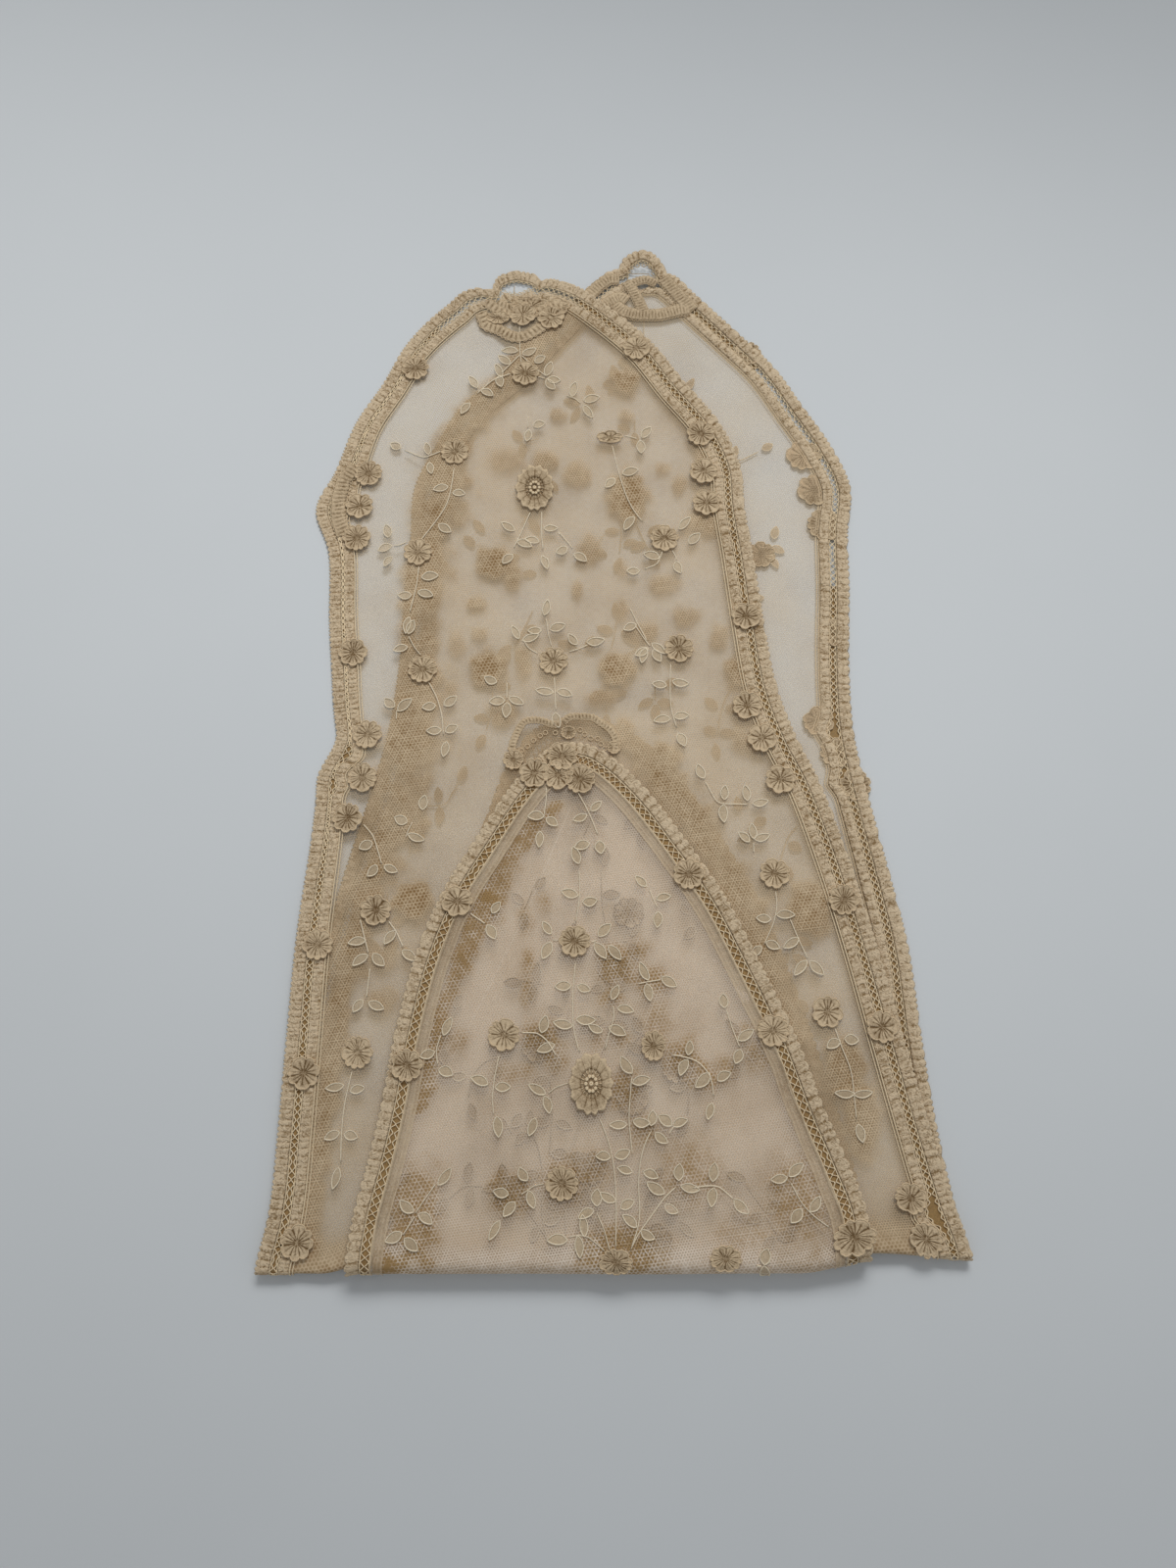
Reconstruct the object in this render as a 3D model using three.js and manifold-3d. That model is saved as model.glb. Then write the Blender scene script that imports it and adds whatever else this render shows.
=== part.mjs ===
// A lace veil of two net falls, folded in half and lying flat with its crease at the near edge.
// Millimetres, +Z up. Plan places are measured from the crease (y = 0) and then centred on the origin.
import * as THREE from 'three';
import { mergeVertices } from 'three/addons/utils/BufferGeometryUtils.js';
import Module from 'manifold-3d';

const wasm = await Module();
wasm.setup();

// Cloth: each fall is a slab whose back is at n = 0 and whose face side is at n = SLAB.
const SLAB = 2.0;
const NET_WALL = 1.0;
const TAPE_BACK = 0.2;
const LADDER_BACK = 0.6;
const LADDER_FACE = 1.8;
const GATHER_HEIGHT = 0.6;
const SCALLOP_DEPTH = 1.4;
const GAP = 0.35;

// Widths of the border bands, from the outer edge inwards.
const OUTER_TAPE = 7.0;
const LADDER = 3.2;
const LADDER_RAIL = 0.8;
const LONG_INNER_TAPE = 6.0;
const SHORT_HEM = 5.0;

// The crease: a soft roll whose reach is how far the cloth stays lifted behind it.
const ROLL_REACH = 24;
const SLANT_REACH = 40;
const SLANT_LEFT = { from: -110, to: -152, shift: -3 };
const SLANT_RIGHT = { from: 95, to: 176, shift: 7 };

// Where the upper long half runs past the lower one it drops to the surface over this width.
const DROP_WIDTH = 24;
const DROP_START = 3;

// Stations along each edge, from the crease to a point, with short steps round the roll and at the point.
const ROLL_STEPS = [8, 18, 30, 46];
const TURN_STEPS = 3;
const POINT_CROWDING = 1.3;
const LOOP_SAMPLES = 1600;
const NORMAL_REACH = 9;

const PLAN_CENTRE = { x: 12, y: 274.8 };
const MERGE_TOLERANCE = 1e-4;

// Net columns as shares of a row's width: even on the short fall, held within limits on the long one.
const EVEN_COLUMNS = [0, 0.34, 0.67, 1];
const DROP_COLUMN_LIMITS = { inner: [0.5, 0.8], outer: 0.95, apart: 0.05 };

// Aged cotton colours.
const NET_COLOUR = 0xb8ab95;
const TAPE_COLOUR = 0xcbb893;
const LADDER_COLOUR = 0xb09468;
const ROSETTE_COLOUR = 0xc8b692;
const CLOTH_ROUGHNESS = 0.9;

// Outlines as they lie: distance from the crease, left edge and right edge of each half.
const LONG_UPPER = [
  { y: 30, left: -147.5, right: 169 },
  { y: 65, left: -146, right: 161 },
  { y: 105, left: -145, right: 152 },
  { y: 155, left: -143.5, right: 140.5 },
  { y: 200, left: -139.7, right: 128.5 },
  { y: 235, left: -137, right: 117 },
  { y: 257, left: -131.5, right: 107 },
  { y: 285, left: -133.5, right: 98 },
  { y: 320, left: -137, right: 93 },
  { y: 360, left: -139.5, right: 88.5 },
  { y: 387, left: -146, right: 85 },
  { y: 412, left: -138, right: 83.5 },
  { y: 440, left: -129, right: 72 },
  { y: 465, left: -115, right: 53.5 },
  { y: 490, left: -103, right: 36 },
  { y: 510, left: -87, right: 15.5 },
  { y: 526, left: -68, right: -5 },
  { y: 537, left: -48, right: -30 },
];
const LONG_LOWER = [
  { y: 30, left: -148, right: 170.5 },
  { y: 65, left: -144, right: 165 },
  { y: 105, left: -139, right: 161 },
  { y: 150, left: -131, right: 157.5 },
  { y: 190, left: -121, right: 150 },
  { y: 235, left: -109, right: 141 },
  { y: 262, left: -103, right: 137 },
  { y: 300, left: -99, right: 137 },
  { y: 340, left: -98, right: 139.5 },
  { y: 372, left: -96, right: 140.5 },
  { y: 400, left: -95, right: 143.5 },
  { y: 424, left: -85, right: 135 },
  { y: 450, left: -71, right: 120 },
  { y: 475, left: -46, right: 105 },
  { y: 500, left: -25, right: 83 },
  { y: 525, left: -3, right: 60 },
  { y: 540, left: 13, right: 47 },
  { y: 550, left: 25, right: 36 },
];
const SHORT_UPPER = [
  { y: 25, left: -108, right: 127.5 },
  { y: 50, left: -102.5, right: 120 },
  { y: 75, left: -97.5, right: 110.5 },
  { y: 105, left: -93, right: 100 },
  { y: 145, left: -84, right: 82 },
  { y: 175, left: -72.5, right: 67 },
  { y: 205, left: -55, right: 47 },
  { y: 230, left: -39, right: 28 },
  { y: 246, left: -25, right: 11 },
  { y: 252, left: -15, right: -1 },
];
const SHORT_LOWER = [
  { y: 25, left: -104, right: 127.5 },
  { y: 60, left: -93, right: 119 },
  { y: 100, left: -80, right: 106 },
  { y: 140, left: -69, right: 90 },
  { y: 180, left: -57, right: 71 },
  { y: 215, left: -46, right: 48 },
  { y: 245, left: -38, right: 24 },
  { y: 262, left: -26, right: 10 },
  { y: 268, left: -14, right: 0 },
];

// Heights of the two falls in the stack, and the roll that each makes at the crease.
const LONG = {
  upper: LONG_UPPER,
  lower: LONG_LOWER,
  crease: { left: -152, right: 176 },
  lowerBase: 2.3,
  upperBase: 4.6,
  turnRadius: 1.2,
  turnAxis: 6.2,
  edgeSteps: 23,
};
const SHORT = {
  upper: SHORT_UPPER,
  lower: SHORT_LOWER,
  crease: { left: -110, right: 129 },
  lowerBase: 0,
  upperBase: 7.4,
  turnRadius: 4.7,
  turnAxis: 6.7,
  edgeSteps: 10,
};

// Rosettes of gathered tape: plan place, width across and length along, on which half of which fall.
const PETALS = 8;
const ROSETTE_HEIGHT = 2.2;
const FLAT_ROSETTE_HEIGHT = 1.7;
const PETAL_NOTCH = 0.84;
const CROWN_RADIUS = 0.42;
const CENTRE_DIMPLE = 0.5;
const BRIDGE_WIDTH = 5;
const BRIDGE_HEIGHT = 0.9;
const SMALL = 16;

const LONG_BORDER_ROSETTES = [
  { name: 'left_tip_single', places: [[-97, 474]] },
  { name: 'left_upper_cluster', places: [[-122, 411], [-124, 393], [-126, 372]] },
  { name: 'left_upper_single', places: [[-125, 305]] },
  { name: 'left_lower_cluster', places: [[-114.5, 258], [-114.5, 235], [-121, 214]] },
  { name: 'left_lower_single', places: [[-132, 150.5]] },
  { name: 'left_side_single', places: [[-135, 89.5]] },
  { name: 'left_crease_single', places: [[-133, 14]] },
  { name: 'right_tip_single', places: [[27, 485]] },
  { name: 'right_upper_cluster', places: [[62, 431], [63, 408], [64, 389]] },
  { name: 'right_upper_single', places: [[83, 323]] },
  { name: 'right_lower_cluster', places: [[82, 273.5], [89, 256], [97.5, 234]] },
  { name: 'right_lower_single', places: [[126, 172.5]] },
  { name: 'right_side_single', places: [[141, 111]] },
  { name: 'right_crease_pair', places: [[149, 33], [154.5, 15.5]] },
  { name: 'point_pair', places: [[-37, 508], [-21, 505]] },
];
const LONG_GROUND_ROSETTES = [
  { name: 'point', places: [[-35, 469]] },
  { name: 'upper_left', places: [[-73, 420]] },
  { name: 'large', places: [[-29, 398]], across: 21, along: 28 },
  { name: 'upper_right', places: [[12, 429]] },
  { name: 'middle_left', places: [[-91, 360]] },
  { name: 'middle_right', places: [[41, 368]] },
  { name: 'lower_left', places: [[-86, 293.5]] },
  { name: 'lower_centre', places: [[-18, 298]] },
  { name: 'lower_right', places: [[47.5, 305]] },
  { name: 'side_left', places: [[-104.5, 167.5]] },
  { name: 'side_right', places: [[92.5, 185.5]] },
  { name: 'crease_left', places: [[-110, 99]] },
  { name: 'crease_right', places: [[115, 118]] },
];
const LONG_BACK_ROSETTES = [
  { name: 'back_tip_single', places: [[90, 484]] },
  { name: 'back_upper_cluster', places: [[112, 420], [117, 402], [122, 381]] },
  { name: 'back_upper_single', places: [[130, 315]] },
  { name: 'back_lower_cluster', places: [[119, 266], [127, 249], [136, 232]] },
  { name: 'back_ground', places: [[93, 360]] },
];
const SHORT_BORDER_ROSETTES = [
  { name: 'point_cluster', places: [[-27, 236], [-13, 245], [-4, 233]] },
  { name: 'left_upper_single', places: [[-64, 171]] },
  { name: 'left_lower_single', places: [[-85.5, 93]] },
  { name: 'right_upper_single', places: [[49.5, 184.5]] },
  { name: 'right_lower_single', places: [[88, 109]] },
  { name: 'right_crease_single', places: [[120.5, 17]] },
];
const SHORT_GROUND_ROSETTES = [
  { name: 'centre', places: [[-6.5, 151.5]] },
  { name: 'left', places: [[-40, 107]] },
  { name: 'large', places: [[1.5, 84.5]], across: 21, along: 29 },
  { name: 'right', places: [[31, 102]] },
  { name: 'lower_left', places: [[-12, 40]] },
];

const smooth = (t) => THREE.MathUtils.smoothstep(t, 0, 1);
const clamp = THREE.MathUtils.clamp;

// Left edge of the lower long half at a distance from the crease, read between its table's rows.
function lowerLongLeft(y) {
  const rows = LONG_LOWER;
  const next = clamp(rows.findIndex((row) => row.y > y), 1, rows.length - 1);
  const above = y > rows[rows.length - 1].y ? rows.length - 1 : next;
  const low = rows[above - 1];
  const high = rows[above];
  return THREE.MathUtils.mapLinear(clamp(y, low.y, high.y), low.y, high.y, low.left, high.left);
}

// How far the upper long half has dropped towards the surface past the lower half's left edge.
function leftDrop(x, y) {
  const fullDrop = LONG.upperBase - TAPE_BACK;
  return fullDrop * clamp((lowerLongLeft(y) - DROP_START - x) / DROP_WIDTH, 0, 1);
}

// The crease isn't quite straight: it runs forward at its left end and back at its right end.
function creaseSlant(x) {
  const part = (end) => end.shift * smooth((x - end.from) / (end.to - end.from));
  return part(SLANT_LEFT) + part(SLANT_RIGHT);
}

// A fall: its smooth outline in the flat sheet and the map from the flat sheet to the folded one.
// In the sheet, v is the length from the crease line, positive on the upper half.
function makeFall(spec) {
  const turnLength = (Math.PI / 2) * (spec.turnRadius + SLAB / 2);
  const axisHeight = spec.lowerBase + SLAB + spec.turnRadius;
  const rise = axisHeight + spec.turnRadius - spec.upperBase;
  const flatLength = (y) => y - spec.turnAxis + turnLength;

  function fold(x, v, n) {
    const along = Math.abs(v) - turnLength;
    const run = Math.max(along, 0);
    const angle = clamp(v / turnLength, -1, 1) * (Math.PI / 2);
    const radius = spec.turnRadius + n;
    const y = spec.turnAxis + run - (along < 0 ? radius * Math.cos(angle) : 0);
    let z = axisHeight + radius * Math.sin(angle);
    if (v > 0 && along >= 0) {
      const lift = rise * Math.exp(-((run / ROLL_REACH) ** 2));
      z = spec.upperBase + lift + n - (spec === LONG ? leftDrop(x, y) : 0);
    }
    const slant = creaseSlant(x) * Math.exp(-((run / SLANT_REACH) ** 2));
    return new THREE.Vector3(x - PLAN_CENTRE.x, y + slant - PLAN_CENTRE.y, z);
  }

  const sheetPoint = (x, v) => new THREE.Vector3(x, v, 0);
  const side = (rows, edge, half) => rows.map((row) => sheetPoint(row[edge], half * flatLength(row.y)));
  const outline = new THREE.CatmullRomCurve3([
    sheetPoint(spec.crease.right, 0),
    ...side(spec.upper, 'right', 1),
    ...side(spec.upper, 'left', 1).reverse(),
    sheetPoint(spec.crease.left, 0),
    ...side(spec.lower, 'left', -1),
    ...side(spec.lower, 'right', -1).reverse(),
  ], true, 'centripetal');
  const samples = outline.getSpacedPoints(LOOP_SAMPLES).slice(0, LOOP_SAMPLES);
  const step = outline.getLength() / LOOP_SAMPLES;
  const sample = (i) => samples[((i % LOOP_SAMPLES) + LOOP_SAMPLES) % LOOP_SAMPLES];

  // Indices of the two points (farthest from the crease) and of the left end of the crease.
  const heights = samples.map((point) => point.y);
  const upperPoint = heights.indexOf(Math.max(...heights));
  const lowerPoint = heights.indexOf(Math.min(...heights));
  const between = heights.slice(upperPoint, lowerPoint).map(Math.abs);
  const leftCrease = upperPoint + between.indexOf(Math.min(...between));

  // One quarter of the outline from a crease end to a point, as sample indices.
  function quarter(from, to) {
    const length = Math.abs(to - from) * step;
    const turn = Array.from({ length: TURN_STEPS }, (_, k) => ((k + 1) * turnLength) / TURN_STEPS);
    const near = [...turn, ...ROLL_STEPS.map((d) => turnLength + d)];
    const start = near[near.length - 1];
    const far = Array.from({ length: spec.edgeSteps }, (_, k) => {
      const left = 1 - (k + 1) / spec.edgeSteps;
      return length - (length - start) * left ** POINT_CROWDING;
    });
    return [0, ...near, ...far].map((d) => from + (Math.sign(to - from) * d) / step);
  }
  const upperRight = quarter(0, upperPoint);
  const upperLeft = quarter(leftCrease, upperPoint);
  const lowerLeft = quarter(leftCrease, lowerPoint);
  const lowerRight = quarter(LOOP_SAMPLES, lowerPoint);
  const last = upperRight.length - 1;

  // Point of the sheet a given distance in from the outline.
  function edgePoint(index, inset) {
    const base = Math.floor(index);
    const point = sample(base).clone().lerp(sample(base + 1), index - base);
    const reach = Math.round(NORMAL_REACH / step);
    const along = sample(base + reach).clone().sub(sample(base - reach)).normalize();
    return { x: point.x - along.y * inset, v: point.y + along.x * inset };
  }

  const ring = [
    ...upperRight.slice(0, last),
    ...upperLeft.slice(1).reverse(),
    ...lowerLeft.slice(0, last),
    ...lowerRight.slice(1).reverse(),
  ];
  const rows = [
    ...lowerRight.map((right, k) => ({ right, left: lowerLeft[k] })).slice(1).reverse(),
    ...upperRight.map((right, k) => ({ right, left: upperLeft[k] })),
  ];
  return { fold, flatLength, edgePoint, ring, rows };
}

// Closed wall over a grid of cells: a face and a back over each solid cell, and sides where it ends.
function wall({ lines, columns, closed, at, solid }) {
  const positions = [];
  for (let i = 0; i < lines; i += 1) {
    for (let j = 0; j <= columns; j += 1) {
      positions.push(...at(i, j, false).toArray(), ...at(i, j, true).toArray());
    }
  }
  const cells = closed ? lines : lines - 1;
  const corner = (i, j, face) => 2 * ((i % lines) * (columns + 1) + j) + (face ? 1 : 0);
  const isSolid = (i, j) => {
    if (j < 0 || j >= columns || (!closed && (i < 0 || i >= cells))) return false;
    return solid((i + cells) % cells, j);
  };
  const faces = [];
  const quad = (a, b, c, d) => faces.push(a, b, c, a, c, d);
  for (let i = 0; i < cells; i += 1) {
    for (let j = 0; j < columns; j += 1) {
      if (!isSolid(i, j)) continue;
      const corners = [[i, j], [i + 1, j], [i + 1, j + 1], [i, j + 1]];
      const neighbours = [[i, j - 1], [i + 1, j], [i, j + 1], [i - 1, j]];
      quad(...corners.map(([p, q]) => corner(p, q, true)));
      quad(...corners.map(([p, q]) => corner(p, q, false)).reverse());
      neighbours.forEach(([p, q], edge) => {
        if (isSolid(p, q)) return;
        const [a, b] = [corners[edge], corners[(edge + 1) % corners.length]];
        quad(corner(...a, false), corner(...b, false), corner(...b, true), corner(...a, true));
      });
    }
  }
  return closedGeometry(positions, faces);
}

// Geometry with shared vertices merged and with triangles that collapse to a line left out.
function closedGeometry(positions, faces) {
  const raw = new THREE.BufferGeometry();
  raw.setAttribute('position', new THREE.Float32BufferAttribute(positions, 3));
  raw.setIndex(faces);
  const merged = mergeVertices(raw, MERGE_TOLERANCE);
  const index = merged.getIndex().array;
  const kept = [];
  for (let t = 0; t < index.length; t += 3) {
    const [a, b, c] = index.slice(t, t + 3);
    if (a !== b && b !== c && a !== c) kept.push(a, b, c);
  }
  merged.setIndex(kept);
  return merged;
}

// A band of the border between two insets, round the whole fall.
function band(fall, { from, to, back, face, scallop = 0, rails = 0 }) {
  const columns = rails ? 3 : 1;
  const insets = rails ? [from, from + rails, to - rails, to] : [from, to];
  const onUpper = (i) => fall.edgePoint(fall.ring[i], 0).v > 0;
  const raised = (i) => i % 2 === 0;
  return wall({
    lines: fall.ring.length,
    columns,
    closed: true,
    solid: (i, j) => columns === 1 || j !== 1 || raised(i),
    at: (i, j, isFace) => {
      const inset = insets[j] + (j === 0 && raised(i) ? scallop : 0);
      const { x, v } = fall.edgePoint(fall.ring[i], inset);
      const gather = scallop && onUpper(i) && raised(i) ? GATHER_HEIGHT : 0;
      return fall.fold(x, v, isFace ? face + gather : back);
    },
  });
}

// The net ground: rows from the lower point through the crease to the upper point.
function netSheet(fall, inset, columnsAt) {
  const lines = fall.rows.map((row) => {
    const right = fall.edgePoint(row.right, inset);
    const left = fall.edgePoint(row.left, inset);
    return { right, left, columns: columnsAt(right, left) };
  });
  return wall({
    lines: lines.length,
    columns: lines[0].columns.length - 1,
    closed: false,
    solid: () => true,
    at: (i, j, isFace) => {
      const { right, left, columns } = lines[i];
      const x = THREE.MathUtils.lerp(right.x, left.x, columns[j]);
      const v = THREE.MathUtils.lerp(right.v, left.v, columns[j]);
      return fall.fold(x, v, isFace ? SLAB : SLAB - NET_WALL);
    },
  });
}

const long = makeFall(LONG);
const short = makeFall(SHORT);

// Columns of the long net: two of them follow the drop past the lower half's left edge.
function longColumns(right, left) {
  const width = Math.max(right.x - left.x, MERGE_TOLERANCE);
  const y = (right.v + left.v) / 2 + LONG.turnAxis - long.flatLength(LONG.turnAxis);
  const edge = y > 0 ? lowerLongLeft(y) - DROP_START : left.x;
  const share = (x) => (right.x - x) / width;
  const limits = DROP_COLUMN_LIMITS;
  const inner = clamp(share(edge), ...limits.inner);
  const outer = clamp(share(edge - DROP_WIDTH), inner + limits.apart, limits.outer);
  return [0, inner / 2, inner, outer, 1];
}

// A rosette in the flat sheet: a dimpled crown with petals falling to a notched rim, on a flat back.
function rosetteGeometry(fall, half, seat, height, [x, y], across, along) {
  const v = half * fall.flatLength(y);
  const positions = [];
  const faces = [];
  const point = (radius, angle, n) => {
    const dx = (radius * across * Math.cos(angle)) / 2;
    const dv = (radius * along * Math.sin(angle)) / 2;
    positions.push(...fall.fold(x + dx, v + dv, n).toArray());
    return positions.length / 3 - 1;
  };
  const centre = point(0, 0, seat + height * CENTRE_DIMPLE);
  const under = point(0, 0, seat);
  const step = (2 * Math.PI) / PETALS;
  const turns = Array.from({ length: PETALS }, (_, k) => k * step);
  const crown = turns.map((angle) => point(CROWN_RADIUS, angle, seat + height));
  const tips = turns.map((angle) => point(1, angle, seat));
  const notches = turns.map((angle) => point(PETAL_NOTCH, angle + step / 2, seat));
  turns.forEach((_, k) => {
    const next = (k + 1) % PETALS;
    faces.push(centre, crown[k], crown[next]);
    faces.push(crown[k], tips[k], notches[k]);
    faces.push(crown[k], notches[k], crown[next]);
    faces.push(crown[next], notches[k], tips[next]);
    faces.push(under, notches[k], tips[k]);
    faces.push(under, tips[next], notches[k]);
  });
  return closedGeometry(positions, faces);
}

// The length of tape that runs from one rosette of a cluster to the next.
function bridgeGeometry(fall, half, seat, [fromX, fromY], [toX, toY]) {
  const from = new THREE.Vector2(fromX, half * fall.flatLength(fromY));
  const to = new THREE.Vector2(toX, half * fall.flatLength(toY));
  const across = to.clone().sub(from).normalize().rotateAround(new THREE.Vector2(), -Math.PI / 2);
  return wall({
    lines: 2,
    columns: 1,
    closed: false,
    solid: () => true,
    at: (i, j, isFace) => {
      const place = (i ? to : from).clone().addScaledVector(across, BRIDGE_WIDTH * (0.5 - j));
      return fall.fold(place.x, place.y, seat + (isFace ? BRIDGE_HEIGHT : 0));
    },
  });
}

// Joins closed geometries into one body.
function join(geometries) {
  const solids = geometries.map((geometry) => new wasm.Manifold(new wasm.Mesh({
    numProp: 3,
    vertProperties: new Float32Array(geometry.getAttribute('position').array),
    triVerts: new Uint32Array(geometry.getIndex().array),
  })));
  const mesh = solids.reduce((whole, solid) => whole.add(solid)).getMesh();
  return closedGeometry(Array.from(mesh.vertProperties), Array.from(mesh.triVerts));
}

const veil = new THREE.Group();

function addPiece(name, geometry, color, roughness) {
  geometry.computeVertexNormals();
  const mesh = new THREE.Mesh(geometry, new THREE.MeshStandardMaterial({ color, roughness, metalness: 0 }));
  mesh.name = name;
  veil.add(mesh);
}

function addRosettes(prefix, table, { fall, half, seat, height }) {
  table.forEach(({ name, places, across = SMALL, along = SMALL }) => {
    const flowers = places.map((place) => rosetteGeometry(fall, half, seat, height, place, across, along));
    const bridges = places.slice(1).map((place, k) => bridgeGeometry(fall, half, seat, places[k], place));
    const geometry = places.length > 1 ? join([...flowers, ...bridges]) : flowers[0];
    addPiece(`${prefix}_${name}`, geometry, ROSETTE_COLOUR, CLOTH_ROUGHNESS);
  });
}

// Insets of the bands: outer tape, ladder, then inner tape or hem, then the net.
const ladderFrom = OUTER_TAPE + GAP;
const ladderTo = ladderFrom + LADDER;
const innerFrom = ladderTo + GAP;
const longNetInset = innerFrom + LONG_INNER_TAPE + GAP;
const shortNetInset = innerFrom + SHORT_HEM + GAP;
const outerTape = { from: 0, to: OUTER_TAPE, back: TAPE_BACK, face: SLAB, scallop: SCALLOP_DEPTH };
const ladder = { from: ladderFrom, to: ladderTo, back: LADDER_BACK, face: LADDER_FACE, rails: LADDER_RAIL };
const innerTape = { from: innerFrom, to: innerFrom + LONG_INNER_TAPE, back: TAPE_BACK, face: SLAB };
const hem = { from: innerFrom, to: innerFrom + SHORT_HEM, back: TAPE_BACK, face: SLAB };

addPiece('long_net', netSheet(long, longNetInset, longColumns), NET_COLOUR, CLOTH_ROUGHNESS);
addPiece('long_outer_tape', band(long, outerTape), TAPE_COLOUR, CLOTH_ROUGHNESS);
addPiece('long_ladder', band(long, ladder), LADDER_COLOUR, CLOTH_ROUGHNESS);
addPiece('long_inner_tape', band(long, innerTape), TAPE_COLOUR, CLOTH_ROUGHNESS);
addPiece('short_net', netSheet(short, shortNetInset, () => EVEN_COLUMNS), NET_COLOUR, CLOTH_ROUGHNESS);
addPiece('short_outer_tape', band(short, outerTape), TAPE_COLOUR, CLOTH_ROUGHNESS);
addPiece('short_ladder', band(short, ladder), LADDER_COLOUR, CLOTH_ROUGHNESS);
addPiece('short_hem', band(short, hem), TAPE_COLOUR, CLOTH_ROUGHNESS);

const onBorder = SLAB + GATHER_HEIGHT + GAP;
const onNet = SLAB + GAP;
const standing = { half: 1, height: ROSETTE_HEIGHT };
addRosettes('long_border_rosette', LONG_BORDER_ROSETTES, { fall: long, seat: onBorder, ...standing });
addRosettes('long_ground_rosette', LONG_GROUND_ROSETTES, { fall: long, seat: onNet, ...standing });
addRosettes('short_border_rosette', SHORT_BORDER_ROSETTES, { fall: short, seat: onBorder, ...standing });
addRosettes('short_ground_rosette', SHORT_GROUND_ROSETTES, { fall: short, seat: onNet, ...standing });
const flattened = { half: -1, height: FLAT_ROSETTE_HEIGHT };
addRosettes('long_rosette', LONG_BACK_ROSETTES, { fall: long, seat: onNet, ...flattened });

export default veil;
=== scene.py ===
import bmesh
import bpy
import numpy as np
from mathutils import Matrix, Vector


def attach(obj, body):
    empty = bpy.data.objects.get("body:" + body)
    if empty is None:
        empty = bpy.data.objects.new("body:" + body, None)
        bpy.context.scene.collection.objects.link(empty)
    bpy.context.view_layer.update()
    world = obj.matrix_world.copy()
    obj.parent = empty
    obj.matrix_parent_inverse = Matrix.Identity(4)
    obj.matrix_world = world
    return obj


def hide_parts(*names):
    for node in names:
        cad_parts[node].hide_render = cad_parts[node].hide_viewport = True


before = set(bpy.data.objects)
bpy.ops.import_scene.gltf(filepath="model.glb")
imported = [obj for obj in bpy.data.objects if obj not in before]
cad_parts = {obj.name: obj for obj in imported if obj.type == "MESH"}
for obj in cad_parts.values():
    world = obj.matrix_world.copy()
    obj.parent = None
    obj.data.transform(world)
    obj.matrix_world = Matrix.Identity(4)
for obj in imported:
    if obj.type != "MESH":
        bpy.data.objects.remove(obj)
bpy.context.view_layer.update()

# The ground of the long fall: one sheet of fine cotton net with hexagonal holes, pointed at both ends. It is
# folded once at the crease, so that its two halves lie one on the other a little askew, face outside.
MM = 0.001
PLAN_CENTRE = (12.0, 274.8)  # mm from the middle of the crease to the frame's origin
SLAB = 2.0  # mm that one half of a fall takes up, trims and all
ROLL_REACH = 24.0  # mm over which the upper half comes down from the roll of the crease
SLANT_REACH = 40.0  # mm over which the crease's slant dies out
CREASE_SLANTS = ((-103.0, -122.0, -3.5), (95.0, 131.0, 5.5), (131.0, 176.0, -3.0))  # from x, to x, shift
RESTING = 0.04  # mm: nothing comes nearer the floor
EDGE_STEP = 0.8  # mm between stations round an outline
SPAN_PLACES = 40  # places on each span of an outline before it is cut evenly
NORMAL_REACH = 9.0  # mm to each side that smooths an outline's inward direction
COVER_REACH = 10.0  # mm inside an outline over which a layer's cover begins
# painted shade: colour darkened where another layer lies above
DIMMING = 0.82  # share of the light that is lost under another layer
BLOTCHES = ((5.3, 2.0, 9.1), (6.7, 1.5, 7.9))  # two waves: mm long, their bend, mm of the bend
POLE_GAP = 1e-6  # m

# Outlines as laid, in mm: columns are the distance from the crease, the left edge and the right edge.
LONG_UPPER = np.array([
    (30, -147.5, 169), (65, -146, 161), (105, -145, 152), (155, -143.5, 140.5), (200, -139.7, 128.5),
    (235, -137, 117), (257, -131.5, 107), (285, -133.5, 98), (320, -137, 93), (360, -139.5, 88.5),
    (387, -146, 85), (412, -138, 83.5), (440, -129, 72), (465, -115, 53.5), (490, -103, 36),
    (510, -87, 15.5), (526, -68, -5), (537, -48, -30),
])
LONG_LOWER = np.array([
    (30, -148, 170.5), (65, -144, 165), (105, -139, 161), (150, -131, 157.5), (190, -121, 150),
    (235, -109, 141), (262, -103, 137), (300, -99, 137), (340, -98, 139.5), (372, -96, 140.5),
    (400, -95, 143.5), (424, -85, 135), (450, -71, 120), (475, -46, 105), (500, -25, 83),
    (525, -3, 60), (540, 13, 47), (550, 25, 36),
])
SHORT_UPPER = np.array([
    (25, -108, 127.5), (50, -102.5, 120), (75, -97.5, 110.5), (105, -93, 100), (145, -84, 82),
    (175, -72.5, 67), (205, -55, 47), (230, -39, 28), (246, -25, 11), (252, -15, -1),
])
SHORT_LOWER = np.array([
    (25, -106, 128), (60, -98, 122), (100, -89, 111), (140, -77, 98), (180, -64, 82),
    (215, -52, 61), (245, -41, 40), (262, -28, 20), (268, -15, 2),
])


def smooth_step(t):
    """0 up to t = 0, 1 from t = 1, and the cubic 3t2 - 2t3 between."""
    t = np.clip(t, 0.0, 1.0)
    return t * t * (3.0 - 2.0 * t)


def bell(t):
    """1 at t = 0, falling off to both sides as the exponential of minus t2."""
    return np.exp(-(t**2))


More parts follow.
